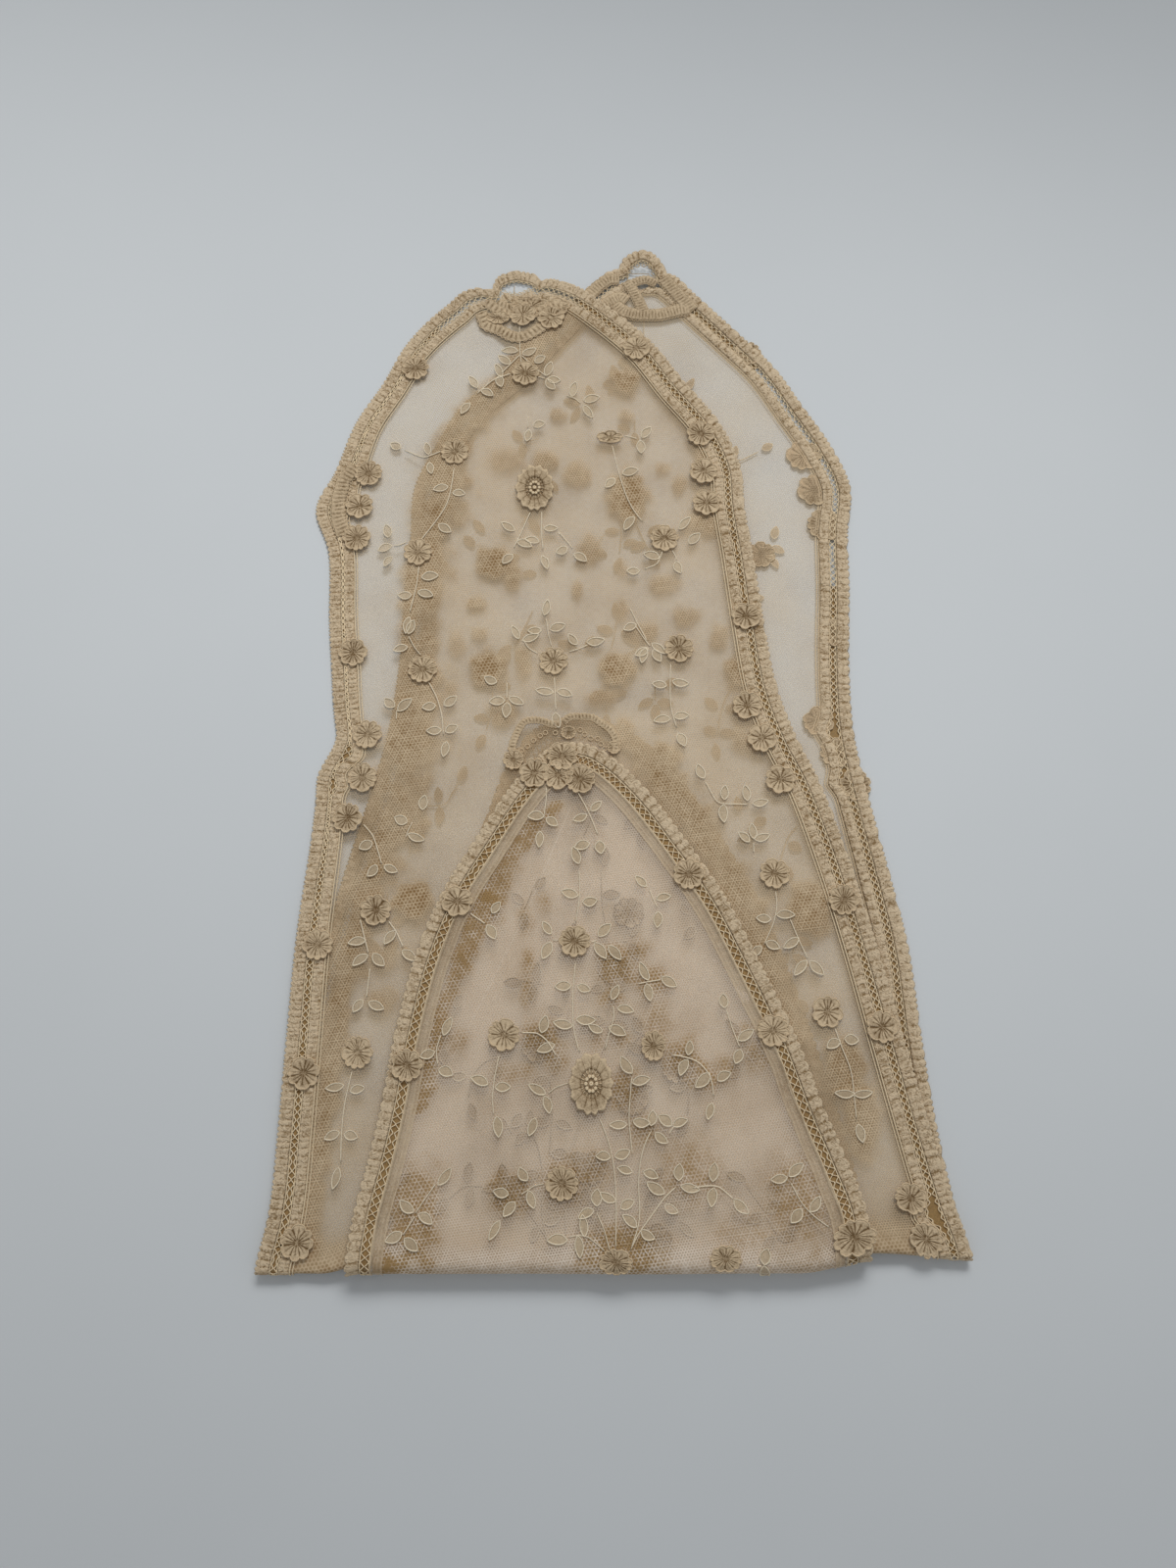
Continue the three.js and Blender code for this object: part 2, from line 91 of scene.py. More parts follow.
def smooth_loop(points, step):
    """Closed curve through the points: cubic spans whose end slopes come from knots spaced by the square root
    of each chord. It is then cut again at equal lengths of about step. Returns the places and the length."""
    before, here, after, beyond = (np.roll(points, k, axis=0)[:, None, :] for k in (1, 0, -1, -2))
    knots = [np.sqrt(np.linalg.norm(b - a, axis=2, keepdims=True))
             for a, b in ((before, here), (here, after), (after, beyond))]
    span = knots[1]
    chord = after - here
    leave = span * ((here - before) / knots[0] - (after - before) / (knots[0] + span) + chord / span)
    reach = span * (chord / span - (beyond - here) / (span + knots[2]) + (beyond - after) / knots[2])
    t = np.linspace(0.0, 1.0, SPAN_PLACES, endpoint=False)[None, :, None]
    curve = here + t * leave + t**2 * (3 * chord - 2 * leave - reach)
    curve = (curve + t**3 * (2 * (here - after) + leave + reach)).reshape(-1, 2)
    closed = np.vstack([curve, curve[:1]])
    length = np.concatenate([[0.0], np.cumsum(np.linalg.norm(np.diff(closed, axis=0), axis=1))])
    even = np.linspace(0.0, length[-1], int(length[-1] / step), endpoint=False)
    return np.column_stack([np.interp(even, length, closed[:, k]) for k in (0, 1)]), length[-1]


def inside(outline, x, y):
    """0 outside an outline as laid, rising to 1 within it over a short reach."""
    left, right = (np.interp(y, outline[:, 0], outline[:, k]) for k in (1, 2))
    within = np.minimum(np.minimum(x - left, right - x), outline[-1, 0] - y)
    return smooth_step(within / COVER_REACH)


def bent_wave(along, across, wave):
    """Sine wave along one direction, whose phase is bent by a sine wave in the other."""
    length, bend, bend_length = wave
    return np.sin(along / length + bend * np.sin(across / bend_length))


def blotches(x, y):
    """Uneven cover between 0.5 and 1: the product of two crossed, bent waves."""
    return 0.75 + 0.25 * bent_wave(x, y, BLOTCHES[0]) * bent_wave(y, x, BLOTCHES[1])


def crease_slant(x):
    """Shift of the crease along y: each end leaves the straight line by a smooth step."""
    return sum(shift * smooth_step((x - start) / (end - start)) for start, end, shift in CREASE_SLANTS)


class Fall:
    """One tier of the veil, worked as a flat opened sheet and then folded.

    Flat places are (x, v, n) in mm: x along the crease, v across it (over 0 on the upper half) and n out of
    the face. The fold carries v round a half turn at the crease, then out along each half."""

    def __init__(self, crease, upper, lower, lower_base, upper_base, turn_radius, turn_axis,
                 swells=(), windows=()):
        self.upper_base = upper_base
        self.turn_radius = turn_radius
        self.turn_axis = turn_axis
        self.turn = np.pi / 2 * (turn_radius + SLAB / 2)
        self.axis_height = lower_base + SLAB + turn_radius
        self.rise = self.axis_height + turn_radius - upper_base
        self.lower = lower
        points = np.vstack([
            [[crease[1], 0.0]],
            np.column_stack([upper[:, 2], self.flat_length(upper[:, 0])]),
            np.column_stack([upper[::-1, 1], self.flat_length(upper[::-1, 0])]),
            [[crease[0], 0.0]],
            np.column_stack([lower[:, 1], -self.flat_length(lower[:, 0])]),
            np.column_stack([lower[::-1, 2], -self.flat_length(lower[::-1, 0])]),
        ])
        self.edge, self.girth = smooth_loop(points, EDGE_STEP)
        self.stations = np.arange(len(self.edge)) * self.girth / len(self.edge)
        reach = round(NORMAL_REACH / EDGE_STEP)
        along = np.roll(self.edge, -reach, axis=0) - np.roll(self.edge, reach, axis=0)
        along /= np.linalg.norm(along, axis=1, keepdims=True)
        self.inward = np.column_stack([-along[:, 1], along[:, 0]])
        self.opening = sum((self.humps([row]) * self.inward[self.nearest(*row[:3])] for row in windows),
                           np.zeros((len(self.edge), 2)))
        self.edge = self.edge - self.inward * self.humps(swells)
        v = self.edge[:, 1]
        left = np.where(self.edge[:, 0] < 0, np.abs(v), np.inf)
        self.marks = [self.stations[k] for k in (v.argmax(), left.argmin(), v.argmin())]

    def flat_length(self, y):
        """Length over the sheet from the crease to a distance y along the upper or lower half."""
        return y - self.turn_axis + self.turn

    def place(self, x, y, half):
        """Flat place of a spot seen at (x, y) on the upper (1) or lower (-1) half."""
        slant = crease_slant(x) * bell((y - self.turn_axis) / SLANT_REACH)
        return x, half * self.flat_length(y - slant)

    def nearest(self, x, y, half):
        """Number of the outline's station nearest to a seen spot."""
        return np.linalg.norm(self.edge - np.array(self.place(x, y, half)), axis=1).argmin()

    def humps(self, rows):
        """Sum of rounded humps along the outline, from rows of x, y, half, height and reach."""
        total = np.zeros((len(self.edge), 1))
        for x, y, half, height, reach in rows:
            away = np.abs(self.stations - self.stations[self.nearest(x, y, half)])
            away = np.minimum(away, self.girth - away)
            total[:, 0] += height * bell(away / reach)
        return total

    def at(self, values, s):
        """Values given at the outline's stations, read at the length s round it."""
        return np.interp(s, self.stations, values, period=self.girth)

    def border(self, s, w, opened=0.0):
        """Flat place at a depth w in from the outline, at the length s round it. Where the border has a
        window, the share opened of the way to the window's inner side is added."""
        return tuple(self.at(self.edge[:, k], s) + self.at(self.inward[:, k], s) * w
                     + self.at(self.opening[:, k], s) * opened for k in (0, 1))

    def settle(self, x, y, upper):
        """How far a place lies below its layer's height; the short fall lies as it is."""
        return 0.0

    def covered(self, flat):
        """Share of cover by other layers: the whole lower half of the short fall lies under the rest."""
        return np.where(flat[:, 1] < 0, 1.0, 0.0)

    def dim(self, flat, light):
        """Light as it is, less the painted shade of the layers above, uneven in blotches."""
        lost = DIMMING * self.covered(flat) * blotches(flat[:, 0], flat[:, 1])
        return np.broadcast_to(light, flat.shape[:1]) * (1.0 - lost)

    def fold(self, flat):
        """Flat places laid as in the folded veil, in metres."""
        x, v, n = np.moveaxis(flat, -1, 0)
        run = np.maximum(np.abs(v) - self.turn, 0.0)
        angle = np.clip(v / self.turn, -1.0, 1.0) * np.pi / 2
        radius = self.turn_radius + n
        upper = v >= self.turn
        y = self.turn_axis + run - radius * np.cos(angle)
        z = np.where(upper, self.upper_base + self.rise * bell(run / ROLL_REACH) + n,
                     self.axis_height + radius * np.sin(angle))
        y = y + crease_slant(x) * bell(run / SLANT_REACH)
        z = np.maximum(z - self.settle(x, y, upper), RESTING)
        return np.stack([x - PLAN_CENTRE[0], y - PLAN_CENTRE[1], z], axis=-1) * MM


class LongFall(Fall):
    """The long tier, which sinks to the floor past the edges of what lies under it."""

    SINK = 1.7  # mm, past the short fall's lower half
    SINK_REACH = 30.0
    DROP_START = 3.0
    DROP_WIDTH = 24.0

    def settle(self, x, y, upper):
        """Sinks past the short fall's outline, and on the left past the long lower half's edge too."""
        left, right = (np.interp(y, SHORT_LOWER[:, 0], SHORT_LOWER[:, k]) for k in (1, 2))
        beyond = np.maximum(np.maximum(y - SHORT_LOWER[-1, 0], x - right), left - x)
        sink = self.SINK * smooth_step(beyond / self.SINK_REACH)
        edge = np.interp(y, self.lower[:, 0], self.lower[:, 1])
        past = np.clip((edge - self.DROP_START - x) / self.DROP_WIDTH, 0.0, 1.0)
        return sink + np.where(upper, (self.upper_base - self.SINK) * past, 0.0)

    def covered(self, flat):
        """The lower half is covered within the upper half's outline, and that within the short fall's."""
        x, v = flat[:, 0], flat[:, 1]
        y = np.abs(v) - self.turn + self.turn_axis
        return np.where(v < 0, inside(LONG_UPPER, x, y), inside(SHORT_UPPER, x, y))


def lattice_faces(count, rows, columns, loop_rows=False, loop_columns=False):
    """Quads of count grids that follow each other in one array, each closed in either direction or not."""
    i = np.arange(rows if loop_rows else rows - 1)[:, None]
    j = np.arange(columns if loop_columns else columns - 1)[None, :]
    i2, j2 = (i + 1) % rows, (j + 1) % columns
    quads = np.stack([i * columns + j, i * columns + j2, i2 * columns + j2, i2 * columns + j], axis=-1)
    return (np.arange(count)[:, None, None] * rows * columns + quads.reshape(-1, 4)).reshape(-1, 4)


def make_piece(name, parts, material, slot_name, stands_for=(), sheet_places=None, poles=False, **traits):
    """One smooth mesh from parts, each (places in metres, quads, light), where light is the painted light and
    shade with the cloth's own tone: 0 in deep folds and 1 on open cloth. Doubled places at poles are merged.
    Traits are further values at the places."""
    starts = np.cumsum([0] + [len(places) for places, quads, light in parts])
    places = np.concatenate([part[0] for part in parts]).astype(np.float32)
    quads = np.concatenate([part[1] + start for part, start in zip(parts, starts)]).astype(np.int32)
    traits["light"] = np.concatenate([np.broadcast_to(part[2], len(part[0])) for part in parts])
    mesh = bpy.data.meshes.new(name)
    mesh.vertices.add(len(places))
    mesh.vertices.foreach_set("co", places.ravel())
    mesh.loops.add(quads.size)
    mesh.loops.foreach_set("vertex_index", quads.ravel())
    mesh.polygons.add(len(quads))
    mesh.polygons.foreach_set("loop_start", np.arange(len(quads), dtype=np.int32) * quads.shape[1])
    mesh.update(calc_edges=True)
    for label, values in traits.items():
        mesh.attributes.new(label, "FLOAT", "POINT").data.foreach_set("value", values.astype(np.float32))
    if sheet_places is not None:
        corners = sheet_places[quads].astype(np.float32)
        mesh.uv_layers.new(name="sheet").data.foreach_set("uv", corners.ravel())
    mesh.validate()
    if poles:
        shell = bmesh.new()
        shell.from_mesh(mesh)
        bmesh.ops.remove_doubles(shell, verts=shell.verts, dist=POLE_GAP)
        shell.to_mesh(mesh)
        shell.free()
    mesh.shade_smooth()
    mesh.materials.append(material)
    piece = bpy.data.objects.new(name, mesh)
    bpy.context.scene.collection.objects.link(piece)
    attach(piece, "root")
    if stands_for:
        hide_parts(*stands_for)
    return piece


def from_line(x, y, start, end):
    """Distance of places from a straight line between two ends, and the share of the way along it."""
    (x0, y0), (x1, y1) = start, end
    dx, dy = x1 - x0, y1 - y0
    share = np.clip(((x - x0) * dx + (y - y0) * dy) / (dx * dx + dy * dy), 0.0, 1.0)
    return np.hypot(x - x0 - share * dx, y - y0 - share * dy), share


NET_HEIGHT = 1.0  # mm, from a fall's base to its net
NET_WAVE = 0.12
NET_RIPPLES = ((17.0, 31.0, 0.0), (-41.0, 23.0, 1.7))  # mm of each slow wave along x and v, and its start
ROW_CROWDING = 1.3  # power that brings the net's rows closer together at the crease
ROW_REACH = 0.996  # share of the way to a point at which the last row lies


def net_sheet(fall, inset, rows, columns, folds):
    """Flat grid of a net: rows run from the lower point over the crease to the upper one, closer together at
    the crease, and each goes straight from the left border to the right. Soft folds are rounded ridges along
    short lines, and slow waves go over the whole. Returns the flat places, rows by columns."""
    q = np.linspace(-1.0, 1.0, rows)
    t = np.sign(q) * np.abs(q) ** ROW_CROWDING * ROW_REACH
    top, left, bottom = fall.marks
    right_s = np.where(t >= 0, t * top, fall.girth + t * (fall.girth - bottom))
    left_s = np.where(t >= 0, left - t * (left - top), left - t * (bottom - left))
    right_x, right_v = fall.border(right_s, inset, 1.0)
    left_x, left_v = fall.border(left_s, inset, 1.0)
    u = np.linspace(0.0, 1.0, columns)
    x = left_x[:, None] * (1 - u) + right_x[:, None] * u
    v = left_v[:, None] * (1 - u) + right_v[:, None] * u
    n = NET_HEIGHT + NET_WAVE * sum(np.sin(x / along + v / out + start) for along, out, start in NET_RIPPLES)
    for x0, y0, x1, y1, lift, spread in folds:
        away, share = from_line(x, v, fall.place(x0, y0, 1), fall.place(x1, y1, 1))
        n = n + lift * bell(away / spread)
    return np.stack([x, v, n], axis=-1)


def add_node(tree, kind, inputs=None, **settings):
    """A shader node with its settings; each input is a value or another node's socket."""
    made = tree.nodes.new(kind)
    for key, value in settings.items():
        setattr(made, key, value)
    for key, value in (inputs or {}).items():
        if isinstance(value, bpy.types.NodeSocket):
            tree.links.new(value, made.inputs[key])
        else:
            made.inputs[key].default_value = value
    return made


def maths(tree, operation, *values):
    """Output of a Math node on one, two or three values or sockets."""
    return add_node(tree, "ShaderNodeMath", dict(enumerate(values)), operation=operation).outputs[0]


def noise(tree, coordinates, scale, detail, distortion=0.0):
    """Value of a soft noise on object coordinates, scale in features a metre."""
    inputs = {"Vector": coordinates, "Scale": scale, "Detail": detail, "Distortion": distortion}
    return add_node(tree, "ShaderNodeTexNoise", inputs).outputs["Fac"]


def new_group(name, inputs, outputs):
    """Empty shader group with named sockets; returns the tree, its input node and its output node."""
    tree = bpy.data.node_groups.new(name, "ShaderNodeTree")
    for direction, sockets in (("INPUT", inputs), ("OUTPUT", outputs)):
        for label, kind in sockets:
            tree.interface.new_socket(label, in_out=direction, socket_type=kind)
    return tree, tree.nodes.new("NodeGroupInput"), tree.nodes.new("NodeGroupOutput")


# Hexagonal net: three cosine waves 60 degrees apart add up to a peak in each hole and a trough on each
# thread.
NET_HEADINGS = (38.0, 98.0, 158.0)  # degrees
NET_WAVE_RATE = 4 * np.pi / np.sqrt(3.0)  # radians for each cell
THREAD_EDGE = {"From Min": 0.9, "From Max": -0.9}  # sums of the waves where thread begins, and is whole
net_group, group_in, group_out = new_group(
    "hexagonal_net", [("Cells", "NodeSocketVector")], [("Thread", "NodeSocketFloat")])
waves = []
for heading in np.radians(NET_HEADINGS):
    direction = (NET_WAVE_RATE * np.cos(heading), NET_WAVE_RATE * np.sin(heading), 0.0)
    across = add_node(net_group, "ShaderNodeVectorMath", {0: group_in.outputs["Cells"], 1: direction},
                      operation="DOT_PRODUCT").outputs["Value"]
    waves.append(maths(net_group, "COSINE", across))
total = maths(net_group, "ADD", maths(net_group, "ADD", waves[0], waves[1]), waves[2])
thread = add_node(net_group, "ShaderNodeMapRange", {"Value": total, **THREAD_EDGE},
                  interpolation_type="SMOOTHSTEP").outputs["Result"]
net_group.links.new(thread, group_out.inputs["Thread"])

# Aged tone and painted shade: cotton yellowed in clouds, and painted darker and browner in folds, in crinkles
# and under other layers.
CLOUDS = (38.0, 3.0)  # features a metre and detail
LINT = (1400.0, 2.0)
CRINKLES = (620.0, 1.5, 1.4)  # and distortion
NOISE_MIDDLE = 0.5
CLOUD_WEAR, LINT_WEAR, CRINKLE_SHADE = 0.9, 0.35, 1.5  # how far each moves the light
LINT_RELIEF = 0.35
MIX_SHARE, MIX_FIRST, MIX_SECOND, MIX_RESULT = 0, 6, 7, 2  # colour sockets of a Mix node
aged_and_shaded_group, group_in, group_out = new_group(
    "aged_and_shaded_cotton",
    [("Clean", "NodeSocketColor"), ("Toasted_and_shaded", "NodeSocketColor"), ("Light", "NodeSocketFloat"),
     ("Object", "NodeSocketVector"), ("Crinkle", "NodeSocketFloat")],
    [("Color", "NodeSocketColor"), ("Height", "NodeSocketFloat")])
clouds, lint, crinkles = (noise(aged_and_shaded_group, group_in.outputs["Object"], *kind)
                          for kind in (CLOUDS, LINT, CRINKLES))
clouds_off, lint_off, crinkles_off = (maths(aged_and_shaded_group, "SUBTRACT", value, NOISE_MIDDLE)
                                      for value in (clouds, lint, crinkles))
crinkles_off = maths(aged_and_shaded_group, "MULTIPLY", crinkles_off, group_in.outputs["Crinkle"])
worn_and_shaded = maths(aged_and_shaded_group, "MULTIPLY_ADD", clouds_off, CLOUD_WEAR, group_in.outputs["Light"])
worn_and_shaded = maths(aged_and_shaded_group, "MULTIPLY_ADD", lint_off, LINT_WEAR, worn_and_shaded)
# painted shade: the crinkles are painted lighter where their bump rises and darker where it sinks
worn_and_shaded = maths(aged_and_shaded_group, "MULTIPLY_ADD", crinkles_off, CRINKLE_SHADE, worn_and_shaded)
clean_share = add_node(aged_and_shaded_group, "ShaderNodeClamp", {"Value": worn_and_shaded}).outputs["Result"]
toned = add_node(aged_and_shaded_group, "ShaderNodeMix", {MIX_SHARE: clean_share, MIX_FIRST: group_in.outputs["Toasted_and_shaded"],
                                               MIX_SECOND: group_in.outputs["Clean"]}, data_type="RGBA")
aged_and_shaded_group.links.new(toned.outputs[MIX_RESULT], group_out.inputs["Color"])
relief = maths(aged_and_shaded_group, "MULTIPLY_ADD", lint, LINT_RELIEF, crinkles_off)
aged_and_shaded_group.links.new(relief, group_out.inputs["Height"])

COTTON_BUMP = {"Strength": 0.7, "Distance": 0.0006}
COTTON_SPECULAR = 0.15
GRAIN = (300.0, 2.0)  # features a metre and detail
GRAIN_GAIN, GRAIN_SHIFT = 2.0, -1.5
NET_CELL = 1.3  # mm
HATCH_CELL = 1.9  # mm, of the crossed threads seen where a net lies doubled


def attribute(tree, name):
    """Output of a value kept at the places of the mesh."""
    return add_node(tree, "ShaderNodeAttribute", attribute_name=name).outputs["Fac"]


def net_threads(tree, cell):
    """The hexagonal net drawn on the sheet's own map, 1 on its threads and 0 in its holes."""
    sheet = add_node(tree, "ShaderNodeUVMap", uv_map="sheet").outputs["UV"]
    cells = add_node(tree, "ShaderNodeVectorMath", {0: sheet, "Scale": 1.0 / cell},
                     operation="SCALE").outputs[0]
    return add_node(tree, "ShaderNodeGroup", {"Cells": cells}, node_tree=net_group).outputs["Thread"]


def cotton_parts(name, clean, toasted_and_shaded, roughness, crinkle, grain=0.0):
    """Cotton material: tone mixed from clean towards the darker colour by the light attribute, which carries
    painted shade, and by clouds of yellowing; matt, crinkled and linty. Grain makes the painted shade of a
    net uneven, with a hatch of crossed threads. Returns it and its parts."""
    material = bpy.data.materials.new(name)
    material.use_nodes = True
    tree = material.node_tree
    shader = tree.nodes["Principled BSDF"]
    spot = add_node(tree, "ShaderNodeTexCoord").outputs["Object"]
    light = attribute(tree, "light")
    if grain > 0.0:
        depth = maths(tree, "MULTIPLY", maths(tree, "SUBTRACT", 1.0, light), grain)
        specks = maths(tree, "MULTIPLY_ADD", noise(tree, spot, *GRAIN), GRAIN_GAIN, GRAIN_SHIFT)
        specks = maths(tree, "ADD", specks, net_threads(tree, HATCH_CELL))
        light = maths(tree, "MULTIPLY_ADD", specks, depth, light)
    aged_and_shaded = add_node(tree, "ShaderNodeGroup", {"Clean": clean, "Toasted_and_shaded": toasted_and_shaded, "Light": light,
                                             "Object": spot, "Crinkle": crinkle}, node_tree=aged_and_shaded_group)
    bump = add_node(tree, "ShaderNodeBump", {**COTTON_BUMP, "Height": aged_and_shaded.outputs["Height"]})
    tree.links.new(aged_and_shaded.outputs["Color"], shader.inputs["Base Color"])
    tree.links.new(bump.outputs["Normal"], shader.inputs["Normal"])
    shader.inputs["Roughness"].default_value = roughness
    shader.inputs["Specular IOR Level"].default_value = COTTON_SPECULAR
    return material, tree, shader, spot


NET_ROUGHNESS = 0.9
NET_GRAIN = 1.0
NET_DRIFT = (26.0, 2.0)  # features a metre and detail
NET_DRIFT_GAIN, NET_DRIFT_LEAST = 0.9, 0.55
CREASE_LINE = {"From Min": 0.8, "From Max": 0.1, "To Max": 0.2}  # mm to its edge and core, and its cover
CLOSE_SOLID = 2.0  # closeness from which a net casts a full shadow


def net_material(name, clean, toasted_and_shaded, open_share, thread_share, shadow_share):
    """Net cotton whose holes let through what lies below: the alpha is thread_share on the threads and
    open_share in the holes, and drifts with the density of the net. Its soft threads let light through, so
    they shade what is below by shadow_share alone, and fully only where the net lies close. Along a crease
    the doubled net shows as a fine pale line."""
    material, tree, shader, spot = cotton_parts(name, clean, toasted_and_shaded, NET_ROUGHNESS, 0.0, NET_GRAIN)
    cover = maths(tree, "MULTIPLY_ADD", net_threads(tree, NET_CELL), thread_share - open_share, open_share)
    density = maths(tree, "MULTIPLY_ADD", noise(tree, spot, *NET_DRIFT), NET_DRIFT_GAIN, NET_DRIFT_LEAST)
    close = attribute(tree, "close")
    cover = maths(tree, "MULTIPLY", maths(tree, "MULTIPLY", cover, density), close)
    away = maths(tree, "ABSOLUTE", attribute(tree, "crease"))
    line = add_node(tree, "ShaderNodeMapRange", {"Value": away, **CREASE_LINE},
                    interpolation_type="SMOOTHSTEP").outputs["Result"]
    cover = maths(tree, "ADD", cover, line)
    shadow = add_node(tree, "ShaderNodeLightPath").outputs["Is Shadow Ray"]
    shade = add_node(tree, "ShaderNodeMapRange", {"Value": close, "From Min": 1.0, "From Max": CLOSE_SOLID,
                                                  "To Min": shadow_share}).outputs["Result"]
    seen = maths(tree, "MULTIPLY_ADD", shadow, maths(tree, "SUBTRACT", shade, 1.0), 1.0)
    tree.links.new(maths(tree, "MULTIPLY", cover, seen), shader.inputs["Alpha"])
    return material


NET_INSET = 13.0  # mm from the outline to the net's edge, under the inner tape or the hem
# Soft folds, in mm on the upper half: from x, y, to x, y, lift, spread.
LONG_NET_FOLDS = ((-65.6, 227, -65.6, 270, 0.6, 2.5), (30, 330, 50, 420, 0.4, 4.0),
                  (-60, 120, -75, 210, 0.4, 4.0))
net_clean = (0.77, 0.607, 0.405, 1.0)
# toasted and shaded end: the net's own browning and the painted shade of folds and covered parts
net_toasted_and_shaded = (0.32, 0.19, 0.08, 1.0)
net_cotton = net_material("net_cotton", net_clean, net_toasted_and_shaded,
                          open_share=0.26, thread_share=0.53, shadow_share=0.3)

# Scallops at the long points and windows in the border, in mm: x, y, half, height out or further in, reach.
LONG_SWELLS = ((-42, 537, 1, 1.0, 6), (-58, 530, 1, -6, 5), (-27, 533, 1, -3, 3.5), (-72, 523, 1, 1.5, 6),
               (33, 551, -1, 2, 8), (49, 541, -1, -2.5, 4), (16, 542, -1, -2.5, 4),
               (-146, 387, 1, 2, 14), (-131, 257, 1, -1.5, 8), (-137, 236, 1, 1.5, 9))
LONG_WINDOWS = ((-42, 537, 1, 6, 9), (33, 551, -1, 18, 16), (-146, 392, 1, 7, 11), (-134, 250, 1, 3.5, 5),
                (-136, 233, 1, 3, 5), (161, 27, 1, 4.5, 6), (137, 262, -1, 3.5, 6), (143, 236, -1, 3, 5),
                (-137, 250, 1, -2.4, 55), (-138, 350, 1, -2.4, 55), (-118, 462, 1, -2.4, 45))
long_fall = LongFall(crease=(-152.0, 176.0), upper=LONG_UPPER, lower=LONG_LOWER, lower_base=2.3,
                     upper_base=4.6, turn_radius=1.2, turn_axis=6.2, swells=LONG_SWELLS, windows=LONG_WINDOWS)
MOTTLE = ((1.7, 1.6, 2.9), (2.1, 1.4, 2.6))  # two waves: mm long, their bend, mm of the bend
BAND_EDGE = (0.55, 0.4)  # least and mottled shares in the ragged edge of a band,
PATCH_EDGE = (0.8, 0.4)  # in the edge of a patch
SHADE_SHARES = (0.65, 0.4)  # and in how strongly both show
BAND_POWER = 4
CREASE_FAR = 20.0  # mm, the most that the distance from a crease is given as


def shade_mottle(x, y):
    """Unevenness of the painted shade between 0 and 1: the mean of two crossed, bent waves a few mm long."""
    return 0.5 + 0.25 * bent_wave(x, y, MOTTLE[0]) + 0.25 * bent_wave(y, x, MOTTLE[1])


def band_share(rows, x, y):
    """1 along the middle of a band, falling off by the fourth power of the distance over the half width, with
    an uneven edge. Rows are seen places along the band: x, y and half width."""
    shown = np.zeros(x.shape)
    ragged = (BAND_EDGE[0] + BAND_EDGE[1] * shade_mottle(y, x)) / blotches(y, x)
    for (x0, y0, half0), (x1, y1, half1) in zip(rows, rows[1:]):
        away, share = from_line(x, y, (x0, y0), (x1, y1))
        away = ragged * away / (half0 + share * (half1 - half0))
        shown = np.maximum(shown, np.exp(-away**BAND_POWER))
    return shown


def painted_shade_below(x, y, bands, edge):
    """How dark the painted shade of what lies below is on a net at a seen place: oval patches, which fall off
    by a power of the distance, and ragged bands."""
    shown = np.zeros(x.shape)
    ragged = PATCH_EDGE[0] + PATCH_EDGE[1] * shade_mottle(y, x)
    for x0, y0, wide, tall, depth in SHADE_PATCHES:
        away = np.hypot((x - x0) / wide, (y - y0) / tall) * ragged
        shown = np.maximum(shown, depth * np.exp(-away**edge))
    for rows in bands:
        shown = np.maximum(shown, SHADE_BAND_DEPTH * band_share(rows, x, y) * blotches(x, y))
    return shown * (SHADE_SHARES[0] + SHADE_SHARES[1] * shade_mottle(x, y))


def make_net(name, fall, rows, columns, folds, creases, bands, shares, node, material):
    """Net of a fall as one sheet that hangs together over the crease, closer and painted darker beside the
    crease and where lower layers lie below, as painted shade, and painted a little dimmer on the lower half.
    Shares are the strengths of that painted shade on the open upper half, on the upper half under another
    fall and on the lower half, how much closer the net is there, and the power of the patches' edges."""
    flat = net_sheet(fall, NET_INSET, rows, columns, folds).reshape(-1, 3)
    x, v = flat[:, 0], flat[:, 1]
    beside = bell(v / NET_CREASE_REACH)
    y = np.abs(v) - fall.turn + fall.turn_axis
    covered = fall.covered(flat)
    open_share, under_share, lower_share, closer, edge = shares
    strength = np.where(v > 0, open_share + (under_share - open_share) * covered, lower_share * covered)
    shade_patch = painted_shade_below(x, y, bands, edge) * strength
    # painted shade: darker beside the crease, on the covered lower half and in the patches and bands over
    # lower layers
    light = NET_LIGHT - NET_CREASE_LOSS * beside - NET_COVER_LOSS * covered * (v < 0) - shade_patch
    crease = np.full(x.shape, CREASE_FAR)
    for x0, y0, x1, y1 in creases:
        crease = np.minimum(crease, from_line(x, v, fall.place(x0, y0, 1), fall.place(x1, y1, 1))[0])
    parts = [(fall.fold(flat), lattice_faces(1, rows, columns), light)]
    return make_piece(name, parts, material, "net", [node], sheet_places=flat[:, :2],
                      close=1.0 + CREASE_CLOSER * beside + closer * shade_patch, crease=crease)
